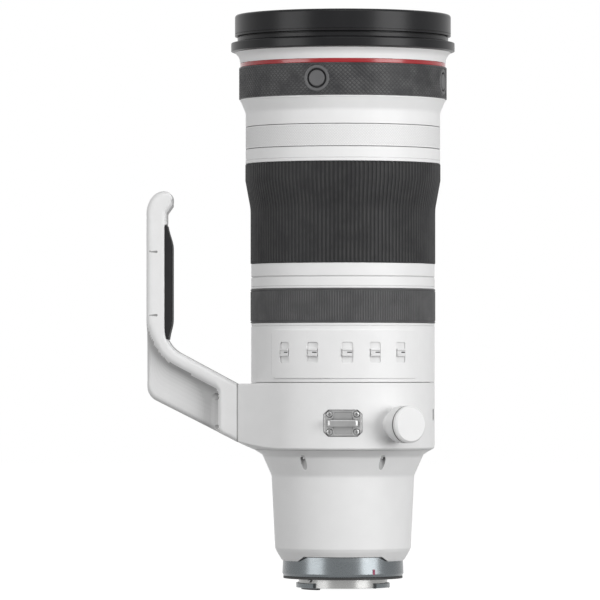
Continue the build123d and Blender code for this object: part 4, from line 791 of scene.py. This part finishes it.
def make_mount_ring():
    line = rounded([
        (THROAT, 0.0), (33.25, 0.0), (33.25, 0.3), (34.1, 0.3, 0.3), (34.95, 2.0, 0.6),
        (34.6, MOUNT_HIGH), (THROAT, MOUNT_HIGH), (THROAT, 3.0), (24.4, 2.7), (24.4, 0.5),
        (THROAT, 0.2)])
    ring = lathe("bayonet_ring", line)
    line = rounded([(THROAT, -6.3, 0.2), (25.6, -6.3, 0.2), (25.6, 0.1), (THROAT, 0.1)])
    finish(lathe("bayonet_tube", line), satin)
    holes = []
    for angle in MOUNT_SCREW_ANGLES:
        place = upward(angle, MOUNT_SCREW_CIRCLE, 0)
        holes += [drill(1.95, 32, -1.0, 1.2, place), drill(1.0, 24, 1.0, 12.0, place)]
    finish(carve(ring, holes), chrome, "mount_ring")
    line = rounded([(24.15, -6.3, 0.2), (27.0, -6.3, 0.35), (27.0, -3.6, 0.25), (24.15, -3.6)])
    for k, (middle, span) in enumerate(((-72, 66), (63, 36), (168, 66)), 1):
        lug = sector(f"bayonet_lug_{k}", line, middle, span, 32)
        finish(flip(bevelled(lug, 0.3, 60)), chrome)
    make_rise("mount_rise_1", 0)
    make_rise("mount_rise_2", 180)
    line = [(0.01, -0.5), (1.0, -0.5), (1.0, 0.9), (0.9, 1.15), (0.7, 1.3), (0.01, 1.3)]
    finish(lathe("stop_stud", line, 32, matrix=outward(-47, -2.0, 25.6)), steel)
    mark = prism("mount_index", rectangle(1.6, 3.1, 0.25), 0.0, 0.03)
    finish(wrapped(mark, 30.4, 3.4, MOUNT - 0.05, 0.4), red_ink)


def make_rise(name, side):
    """Raised part of the mount ring that fills the notch in the rear barrel."""
    half_low, half_top, low = asin(25.7 / MOUNT), asin(22.0 / MOUNT), MOUNT_HIGH - 0.1
    steps, points = 40, []
    for i in range(steps + 1):
        off = (i / steps * 2 - 1) * half_low
        top = MOUNT_HIGH + 2.5 * min((half_low - abs(off)) / (half_low - half_top), 1)
        section = [(33.2, low), (34.6, low), (34.5, top - 0.1), (34.4, top), (33.2, top)]
        points += [polar(r, radians(side) + off, z) for r, z in section]
    rise = mesh_object(name, points, swept_faces(steps + 1, len(section)))
    finish(flip(rise), chrome, sharp=25)


def make_screws(name, node, places, radius, height, body="barrel", material=steel):
    """Heads with a rounded rim and a cross recess, their tops in the planes of the places.
    The first stands for the node."""
    line = [(0.01, -height), (radius, -height), (radius, -0.35), (radius - 0.12, -0.12),
            (radius - 0.4, 0.0), (0.01, 0.0)]
    for k, place in enumerate(places, 1):
        head = lathe(f"{name}_{k}", line, 40, matrix=place)
        arms = [prism("arm", rectangle(radius * 1.15, 0.42), -0.55, 1.0, place),
                prism("arm", rectangle(0.42, radius * 1.15), -0.6, 1.0, place)]
        finish(carve(head, arms), material, node if k == 1 else None, body)


def make_mount_end():
    line = rounded([(33.27, -1.0, 0.25), (34.4, -1.0, 0.3), (34.4, 0.28), (33.27, 0.28)])
    finish(lathe("dust_gasket", line, 192), gasket_rubber, "mount_gasket")
    places = [upward(angle, MOUNT_SCREW_CIRCLE, 0.08) @ TURNED_OVER
              for angle in MOUNT_SCREW_ANGLES]
    make_screws("mount_screw", "mount_screws", places, 1.9, 1.1)
    line = rounded([(20.25, -7.4, 0.5), (24.05, -7.4, 0.3), (24.05, 3.0, 0.3), (20.25, 3.0, 0.5)])
    holes = [drill(0.72, 20, -8.0, -5.0, upward(-90 + 7.4 * k, 22.15, 0))
             for k in np.arange(12) - 5.5]
    block = carve(flip(sector("contact_holder", line, -90, 100, 60)), holes)
    finish(block, contact_plastic, "contact_block")
    plate = prism("light_baffle", circle(24.05, 96), 4.0, 8.5)
    gate = prism("gate", rectangle(36.0, 24.0, 3.0, 6), 2.0, 10.0)
    finish(bevelled(carve(plate, [gate]), 0.35), flock, "rear_baffle")


# Collar

def boss_reach(angle):
    """How far the block that carries the foot stands off the ring: its flanks run tangent
    onto the ring."""
    half, seam = 16.0, 60.25
    off = abs((angle - 1.5 * pi + pi) % (2 * pi) - pi)
    corner = atan2(half, seam)
    touch = corner + acos(BARREL / hypot(seam, half))
    if off < corner:
        return seam / cos(off) - BARREL
    return BARREL / cos(max(touch - off, 0)) - BARREL


def collar_section(bulge):
    """Section of the collar where it stands off the ring by the bulge."""
    low, high, ledge, bore = COLLAR_LOW + 0.15, COLLAR_HIGH - 0.22, COLLAR_HIGH - 1.0, 49.95
    edge = BARREL + max(bulge, 0.004)
    return rounded([
        (bore, low), (51.8, low, 0.4), (edge, low + 1.0 + bulge * 0.38, 0.9), (edge, ledge, 0.9),
        (BARREL, ledge + 0.1), (BARREL, high, 0.35), (bore, high)], 5)


def make_collar():
    boss = np.linspace(radians(222), radians(318), 120)
    rest = np.linspace(radians(318), radians(582), 190)[1:-1]
    points, turns = [], [*boss, *rest]
    for turn in turns:
        line = collar_section(boss_reach(turn % (2 * pi)))
        points += [polar(r, turn, z) for r, z in line]
    ring = mesh_object("collar_band", points, grid_faces(len(turns), len(line)))
    place = outward(SLOT_ANGLE, SLOT_HEIGHT)
    cutters = [prism("slot", rectangle(3.0, 6.6, 1.0, 5), 51.0, 58, place)]
    seat = fourfold([(-11.05, -5.1, 0), (-8.4, -7.7, 0)])
    cutters += [prism("seat", seat, 51.2, 60, outward(angle, LUG_HEIGHT)) for angle in LUG_ANGLES]
    finish(carve(ring, cutters), paint, "tripod_collar", "collar")

    # Painted shade in the security slot, round the strap lug seats and at the upper edge where the
    # collar meets the barrel.
    def shaded_collar_gaps(x, y, z, r):
        turn = np.degrees(np.arctan2(x, -y))
        slot = (np.abs(turn - SLOT_ANGLE) < 2.5) & (np.abs(z - SLOT_HEIGHT) < 3.6)
        off = np.minimum(np.abs(turn), 180 - np.abs(turn))
        seat = (off < 13) & (np.abs(z - LUG_HEIGHT) < 8)
        return (r < BARREL - 0.05) & (slot | seat | (z > COLLAR_HIGH - 0.5))

    paint_shade(ring, shaded_collar_gaps, 0.6)
    neck = rounded([(0.01, 50.2), (7.4, 50.2), (7.4, 59.3, 0.3), (0.01, 59.3)], 6)
    neck = lathe("knob_neck", neck, 96, matrix=outward(KNOB_ANGLE, KNOB_HEIGHT))
    finish(neck, paint, body="collar")


def make_strap_lugs():
    outline = fourfold([(-10.65, -5.0, 1.5), (-8.1, -7.3, 1.5)])
    inner = fourfold([(-9.3, -1.9, 1.2), (-5.6, -1.9, 1.0), (-4.9, -6.2, 0.8)])
    corners = [(-1, -1), (1, -1), (1, 1), (-1, 1)]
    for number, angle in enumerate(LUG_ANGLES, 1):
        plate = prism(f"lug_plate_{number}", outline, -0.8, 0.4)
        cutters = [prism("recess", inner, 0.05, 2.0)]
        for x, y in sorted(corners):
            place = Matrix.Translation((x * LUG_SCREW_X, y * LUG_SCREW_Y, 0))
            cutters.append(drill(1.9, 32, -0.25, 2.0, place))
        bevelled(carve(plate, cutters), 0.18, 35)
        wrapped(plate, angle, LUG_HEIGHT, BARREL)
        finish(plate, steel, "strap_lugs" if number == 1 else None, "collar", sharp=30)
        make_strap_bar(number, angle)
    places = [outward(angle + degrees(x * LUG_SCREW_X / BARREL), LUG_HEIGHT + y * LUG_SCREW_Y,
                      53.45) for angle in LUG_ANGLES for x, y in corners]
    make_screws("lug_screw", "strap_lug_screws", places, 1.75, 0.6, "collar")


def make_strap_bar(number, angle):
    """Rounded bar that stands off the plate on two bent ends."""
    low, high, end = 51.9, 57.4, 8.6
    path = rounded([(-end, low), (-end, high, 2.0), (end, high, 2.0), (end, low)], 8, False)
    section, points = rectangle(1.8, 4.2, 0.85, 5), []
    for i, (x, r) in enumerate(path):
        before, after = path[max(i - 1, 0)], path[min(i + 1, len(path) - 1)]
        along = Vector((after[0] - before[0], after[1] - before[1])).normalized()
        points += [(x - along[1] * s, z, r + along[0] * s) for s, z in section]
    bar = mesh_object(f"strap_bar_{number}", points, swept_faces(len(path), len(section)),
                      outward(angle, LUG_HEIGHT))
    finish(flip(bar), steel, body="collar", sharp=30)


def make_knob():
    line = rounded([
        (0.01, -0.05), (10.6, -0.05, 0.5), (10.6, 6.9), (10.0, 7.05), (10.0, 7.75), (10.6, 7.9),
        (10.6, 9.5, 0.35), (9.4, 10.7, 0.3), (9.0, 10.7), (0.01, 10.66)], 5)
    place = outward(KNOB_ANGLE, KNOB_HEIGHT, 59.4)
    wheel = lathe("lock_wheel", line, 128, matrix=place)
    finish(wheel, paint, "lock_knob", "lock", sharp=30)
    # Painted shade in the groove round the wheel.
    paint_shade(wheel, lambda x, y, z, r: (r < 10.4) & (r > 9.5) & (z > 6.9) & (z < 7.9), 0.7, place)


# Foot

def runs(line):
    """Start, step and length of each run of an open line."""
    return [(x, y, u - x, v - y, hypot(u - x, v - y)) for (x, y), (u, v) in zip(line, line[1:])]


def along(line, distance):
    """Point at a distance along an open line."""
    for x, y, dx, dy, run in runs(line):
        if distance <= run:
            return x + dx * distance / run, y + dy * distance / run
        distance -= run
    return line[-1]


def length_to(line, point):
    """Distance along a line to its point nearest to a given one."""
    best, total = (1e9, 0), 0
    for x, y, dx, dy, run in runs(line):
        share = ((point[0] - x) * dx + (point[1] - y) * dy) / run ** 2
        share = min(max(share, 0), 1)
        far = hypot(x + dx * share - point[0], y + dy * share - point[1])
        best = min(best, (far, total + run * share))
        total += run
    return best[1]


def distance_to(line, x, z):
    """Shortest distance from points to an open line."""
    best = np.full(np.shape(x), 1e9)
    for x0, z0, dx, dz, run in runs(line):
        share = np.clip(((x - x0) * dx + (z - z0) * dz) / run ** 2, 0, 1)
        best = np.minimum(best, np.hypot(x0 + dx * share - x, z0 + dz * share - z))
    return best


def smooth(value):
    value = np.clip(value, 0, 1)
    return value * value * (3 - 2 * value)


def rim_drop(distance, radius):
    """How far a rounded edge falls back at a distance from the outline."""
    inside = np.clip(radius - distance, 0, radius)
    return radius - np.sqrt(np.maximum(radius ** 2 - inside ** 2, 0))


def foot_inner_line():
    return rounded([
        (FOOT_SEAM, 110.8), (STRAP_IN, 133.47, 18.0), (STRAP_IN, 201.9), (-101.2, 202.6, 0.4),
        (-101.2, 208.8, 3.0), (-98.0, 213.3, 2.0), (-98.0, 216.0)], 16, False)


def foot_outer_line():
    line = rounded([(FOOT_SEAM, 77.3), (-112.6, 103.83, 9.0), (-112.6, 140.0, 20.0),
                    (STRAP_OUT, 146.0)], 14, False)
    back, tip = np.radians(np.arange(15) / 14 * 90), np.radians(np.arange(1, 9) / 8 * 90)
    line += [(-102.9 - 10.0 * cos(turn), 208.6 + 13.0 * sin(turn)) for turn in back]
    return line + [(-102.4 + 4.4 * sin(turn), 217.2 + 4.4 * cos(turn)) for turn in tip]


def foot_half_width(x, z, inner):
    """Half the foot's width: full on the strap and the column, less on the web between."""
    depths = [0, 3, 5, 6.2, 7.2, 8.0, 8.8, 9.8, 11.2, 13.5, 17, 23]
    depth, flat = distance_to(inner, x, z), smooth((z - 126.0) / 22.0)
    strap = np.interp(depth, depths, [
        16, 16, 15.85, 15.4, 14.6, 13.5, 12.3, 11.1, 10.25, 9.6, 9.2, 9.0])
    shallow = np.interp(depth - 2.6 * flat, depths, [
        16, 16, 15.9, 15.6, 15.0, 14.0, 12.7, 11.4, 10.4, 9.7, 9.2, 9.0])
    strap = strap * (1 - flat) + np.where(z > 143, FOOT_HALF, shallow) * flat
    column = np.interp(FOOT_SEAM - x, [0, 9.4, 10.2, 10.9, 11.6, 12.4, 13.6, 15.5, 18.5, 23],
                       [16, 16, 15.5, 14.4, 13.0, 11.9, 10.8, 9.9, 9.3, 9.0])
    both = ((strap - WEB_HALF) ** 3 + (column - WEB_HALF) ** 3) ** (1 / 3)
    return WEB_HALF + np.minimum(both, FOOT_HALF - WEB_HALF)


def foot_mesh(inner, outer):
    """Foot as a grid over its side, from the inner to the outer line, once for each side."""
    # Points on the inner and the outer line, and steps to the next pair
    stations = [
        (FOOT_SEAM, 110.8, FOOT_SEAM, 77.3, 14), (-70.7, 116.4, -70.7, 82.6, 12),
        (-80.0, 121.4, -84.0, 89.3, 12), (-88.0, 125.7, -97.0, 95.9, 10),
        (-92.9, 128.4, -104.6, 99.8, 10), (-97.3, 131.6, -111.0, 104.5, 10),
        (-100.4, 136.0, -112.6, 113.0, 12), (-102.4, 144.2, -112.6, 138.0, 5),
        (-102.4, 150.0, -112.9, 150.0, 16), (-102.4, 200.0, -112.9, 200.0, 6),
        (-101.2, 205.5, -112.8, 208.0, 8), (-101.0, 209.4, -111.4, 214.0, 8),
        (-98.2, 213.0, -107.5, 219.8, 8), (-98.0, 214.6, -102.4, 221.6, 8),
        (-98.0, 216.0, -98.0, 217.2, 0)]
    ends = []
    for here, there in zip(stations, stations[1:]):
        count = here[4]
        spans = [(line, length_to(line, here[k:k + 2]), length_to(line, there[k:k + 2]))
                 for line, k in ((inner, 0), (outer, 2))]
        ends += [[along(line, a + (b - a) * i / count) for line, a, b in spans]
                 for i in range(count)]
    ends = np.array([*ends, [inner[-1], outer[-1]]])
    reach = np.hypot(*(ends[:, 1] - ends[:, 0]).T)[:, None]
    height = ends[:, :1, 1]
    pad_zone = smooth((height - 136.0) / 8.0) * smooth((203.5 - height) / 2.5)
    inner_rim = np.minimum(3.0 - 2.3 * pad_zone, reach * 0.42)
    outer_rim = np.minimum(3.4, reach * 0.42)
    turns = np.radians(np.arange(7) / 6 * 90)
    middle = np.array([0.03, 0.07, 0.11, 0.15, 0.19, 0.23, 0.27, 0.31, 0.36, 0.42, 0.49, 0.57,
                       0.66, 0.76, 0.87])
    head = inner_rim * (1 - np.cos(turns))
    tail = reach - outer_rim * (1 - np.cos(turns[::-1]))
    depth = np.concatenate([head, inner_rim + (reach - inner_rim - outer_rim) * middle, tail], 1)
    share = (depth / reach)[..., None]
    x, z = np.moveaxis(ends[:, None, 0] * (1 - share) + ends[:, None, 1] * share, -1, 0)
    half = foot_half_width(x, z, inner) - rim_drop(depth, inner_rim)
    half -= rim_drop(reach - depth, outer_rim) + rim_drop(np.abs(x - FOOT_SEAM), 0.45)
    rows, columns = x.shape
    far = rows * columns
    points = [np.stack([x, side * half, z], -1).reshape(-1, 3) for side in (1, -1)]
    one = np.array(grid_faces(rows, columns, False, False))
    faces = one.tolist() + (one[:, ::-1] + far).tolist()
    grid = np.arange(far).reshape(rows, columns)
    for rim in (grid[::-1, 0], grid[:, -1], grid[0], grid[-1]):
        faces += [[a, b, b + far, a + far] for a, b in zip(rim.tolist(), rim[1:].tolist())]
    return flip(mesh_object("foot_casting", np.concatenate(points), faces))


def make_foot():
    inner, outer = foot_inner_line(), foot_outer_line()
    foot = foot_mesh(inner, outer)
    cutters = [drill(2.15, 40, 0.0, 14.0, off_foot(-69.7, y, z)) for y, z in FOOT_SCREW_PLACES]
    drop = [(0.7 * cos(t), 0.7 * sin(t)) for t in np.radians(range(-90, 91, 30))] + [(-5.0, 0.0)]
    side_marks = THREAD_HEIGHTS[0] - 2.6, THREAD_HEIGHTS[1] - 5.0
    for z, mark in zip(THREAD_HEIGHTS, side_marks):
        cutters.append(drill(6.5, 64, -7.55, 3.0, off_foot(STRAP_OUT, 0, z)))
        for side in (-FOOT_HALF, FOOT_HALF):
            place = Matrix.Translation((-107.1, side, mark)) @ Matrix.Rotation(pi / 2, 4, "X")
            cutters.append(prism("side_mark", drop, -0.6, 0.6, place))
    finish(carve(foot, cutters), paint, "tripod_foot", "collar", sharp=42)
    # Painted shade on the web and its fillets, strongest just under the strap and near the column,
    # where these cast shadow.
    x, y, z = (read(foot.data.polygons, "center", 3) / MM).T
    near_strap = np.clip(distance_to(inner, x, z) - 9.0, 0, None)
    near_column = np.clip(np.abs(x + 78.0) - 1.5, 0, None)
    painted_shade = 0.06 + 0.42 * np.exp(-near_strap / 6.0) + 0.36 * np.exp(-near_column / 6.5) * (x > -100)
    paint_shade(foot, lambda x, y, z, r: abs(y) < 13.5, np.minimum(painted_shade, 0.52))
    # Painted shade in the seam where the foot meets the collar.
    paint_shade(foot, lambda x, y, z, r: x > FOOT_SEAM - 0.6, 0.45)
    # Painted shade inside the drop-shaped marks on the foot's sides.
    from_mark = np.minimum(*[np.abs(z - mark) for mark in side_marks])
    shaded_marks = (from_mark < 0.75) & (np.abs(np.abs(y) - 15.6) < 0.3) & (np.abs(x + 108.5) < 2.3)
    paint_shade(foot, lambda *place: shaded_marks, 0.5)


def make_foot_screws():
    places = [off_foot(-71.6, y, z) for y, z in FOOT_SCREW_PLACES]
    make_screws("foot_screw", "foot_screws", places, 2.05, 1.8, "collar", satin)


def make_pad():
    low, high, front_x, back_x = 136.35, 201.8, -98.0, STRAP_IN
    arc = np.array([(z, x) for x, z in foot_inner_line() if 133 < z < 150 and x < -95])
    heights = [low, 136.5, 136.9, *np.linspace(137.5, 150, 18), 160, 175,
               *np.linspace(186, 201, 16), 201.5, high]
    points = []
    for z in heights:
        back = float(np.interp(z, *arc.T)) if z < 144.2 else back_x
        slope = 2.2 * smooth((148 - z) / 13.0) if z < 148 else 3.0 * smooth((z - 189.0) / 14.0)
        rise = max(front_x - float(slope) - back, 0.25)
        half = 15.9 - max(0.0, 0.8 - min(z - low, high - z)) * 0.8
        corner = min(1.5, rise * 0.45)
        section = rounded([(back - 0.02, -half), (back + rise, -half, corner),
                           (back + rise, half, corner), (back - 0.02, half)], 5)
        points += [(x, y, z) for x, y in section]
    pad = mesh_object("hand_pad", points, swept_faces(len(heights), len(section)))
    finish(flip(pad), pad_rubber, "foot_grip_pad", "collar")


def make_foot_fittings():
    bores_and_pitches = (3.175, 1.27), (4.7625, 1.5875)
    for number, (z, (bore, pitch)) in enumerate(zip(THREAD_HEIGHTS, bores_and_pitches), 1):
        rows = [(bore, -0.25 - i * pitch / 6) for i in range(int(6.8 * 6 / pitch))]
        line = [(bore, -7.5), (6.45, -7.5), (6.45, -0.2), (6.3, 0.0), (bore + 0.35, 0.0), *rows]
        bush = lathe(f"thread_bush_{number}", line, 96,
                     thread(pitch, 0.3, 0, -7.2, 0, bore + 0.1), None, off_foot(STRAP_OUT, 0, z))
        node = "tripod_thread_inserts" if number == 1 else None
        finish(flip(bush), steel, node, "collar", sharp=50)


for make in (make_front_ring, make_front_cell, make_front_lens, make_red_band, make_front_barrel,
             make_button_ring, make_control_rings, make_zoom_grip, make_focus_grip,
             make_middle_barrel, make_main_barrel, make_switch_panel, make_switches,
             make_rear_barrel, make_mount_ring, make_mount_end, make_collar, make_strap_lugs,
             make_knob, make_foot, make_foot_screws, make_pad, make_foot_fittings):
    make()

# Inner pieces keep their solids and get their finish here
for material, names in (
        (anodised, ("rear_inner_barrel", "guide_barrel", "cam_barrel", "zoom_cell")),
        (moulded, ("focus_cell", "stabiliser_housing", "stabiliser_carrier", "stabiliser_cell",
                   "iris_housing", "zoom_ring", "focus_ring")),
        (dark_screw, ("iris_blades",)),
        (steel, ("focus_guide_rods", "zoom_key", "zoom_followers")),
        (gold, ("contact_pins",)),
        (board, ("circuit_board",)),
        (inner_glass, ("rear_lens", "focus_lens", "stabiliser_lens", "zoom_lens"))):
    for name in names:
        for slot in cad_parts[name].material_slots:
            slot.material = material


# Studio

def aimed(name, data, place, target):
    """Lamp or camera at a place, looking at a target."""
    made = bpy.data.objects.new(name, data)
    bpy.context.collection.objects.link(made)
    made.location = place
    made.rotation_euler = (Vector(target) - Vector(place)).to_track_quat("-Z", "Y").to_euler()
    return made


def area_light(name, place, target, width, height, power):
    lamp = bpy.data.lights.new(name, "AREA")
    lamp.shape, lamp.size, lamp.size_y, lamp.energy = "RECTANGLE", width, height, power
    aimed(name, lamp, place, target)


def seen_or_mirrored(tree):
    """1 for what the camera sees straight, in a reflection or through glass."""
    path = add(tree, "LightPath").outputs
    either = calculated(tree, "MAXIMUM", path["Is Camera Ray"], path["Is Glossy Ray"])
    return calculated(tree, "MAXIMUM", either, path["Is Transmission Ray"])


def make_world():
    world = bpy.data.worlds.new("studio")
    tree = fresh_tree(world)
    light = add(tree, "Background", {"Color": (1, 1, 1, 1), "Strength": 0.15})
    seen = add(tree, "Background", {"Color": (1, 1, 1, 1), "Strength": 1.0})
    mix = add(tree, "MixShader", {0: seen_or_mirrored(tree), 1: light.outputs[0],
                                  2: seen.outputs[0]})
    add(tree, "OutputWorld", {0: mix.outputs[0]})
    bpy.context.scene.world = world


def make_floor():
    outline = [(x, y, cad_low.z / MM) for x, y in rectangle(8000, 8000)]
    floor = mesh_object("floor", outline, [[0, 1, 2, 3]])
    material = bpy.data.materials.new("pale_floor")
    tree = fresh_tree(material)
    plain = add(tree, "BsdfDiffuse", {"Color": (0.28, 0.28, 0.28, 1.0)})
    strength = calculated(tree, "MULTIPLY", seen_or_mirrored(tree), 0.96)
    glow = add(tree, "Emission", {"Color": (1, 1, 1, 1), "Strength": strength})
    both = add(tree, "AddShader", {0: plain.outputs[0], 1: glow.outputs[0]})
    add(tree, "OutputMaterial", {0: both.outputs[0]})
    floor.data.materials.append(material)


def make_camera():
    lens = bpy.data.cameras.new("camera")
    lens.lens, lens.sensor_width = 318.0, 36.0
    lens.clip_start, lens.clip_end = 0.1, 50.0
    bpy.context.scene.camera = aimed("camera", lens, (0, -3.058, 0.1198), (-0.02476, 0, 0.15923))


make_world()
make_floor()
make_camera()
area_light("right_box", (1.26, -0.98, 0.37), (0, 0, 0.37), 0.98, 0.84, 17.2)
area_light("left_box", (-1.29, -0.94, 0.31), (0, 0, 0.31), 0.92, 0.62, 8.7)
area_light("front_box", (0.27, -1.55, 1.4), (0, 0, 0.16), 1.7, 1.7, 15.0)
bpy.context.scene.view_settings.view_transform = "Standard"
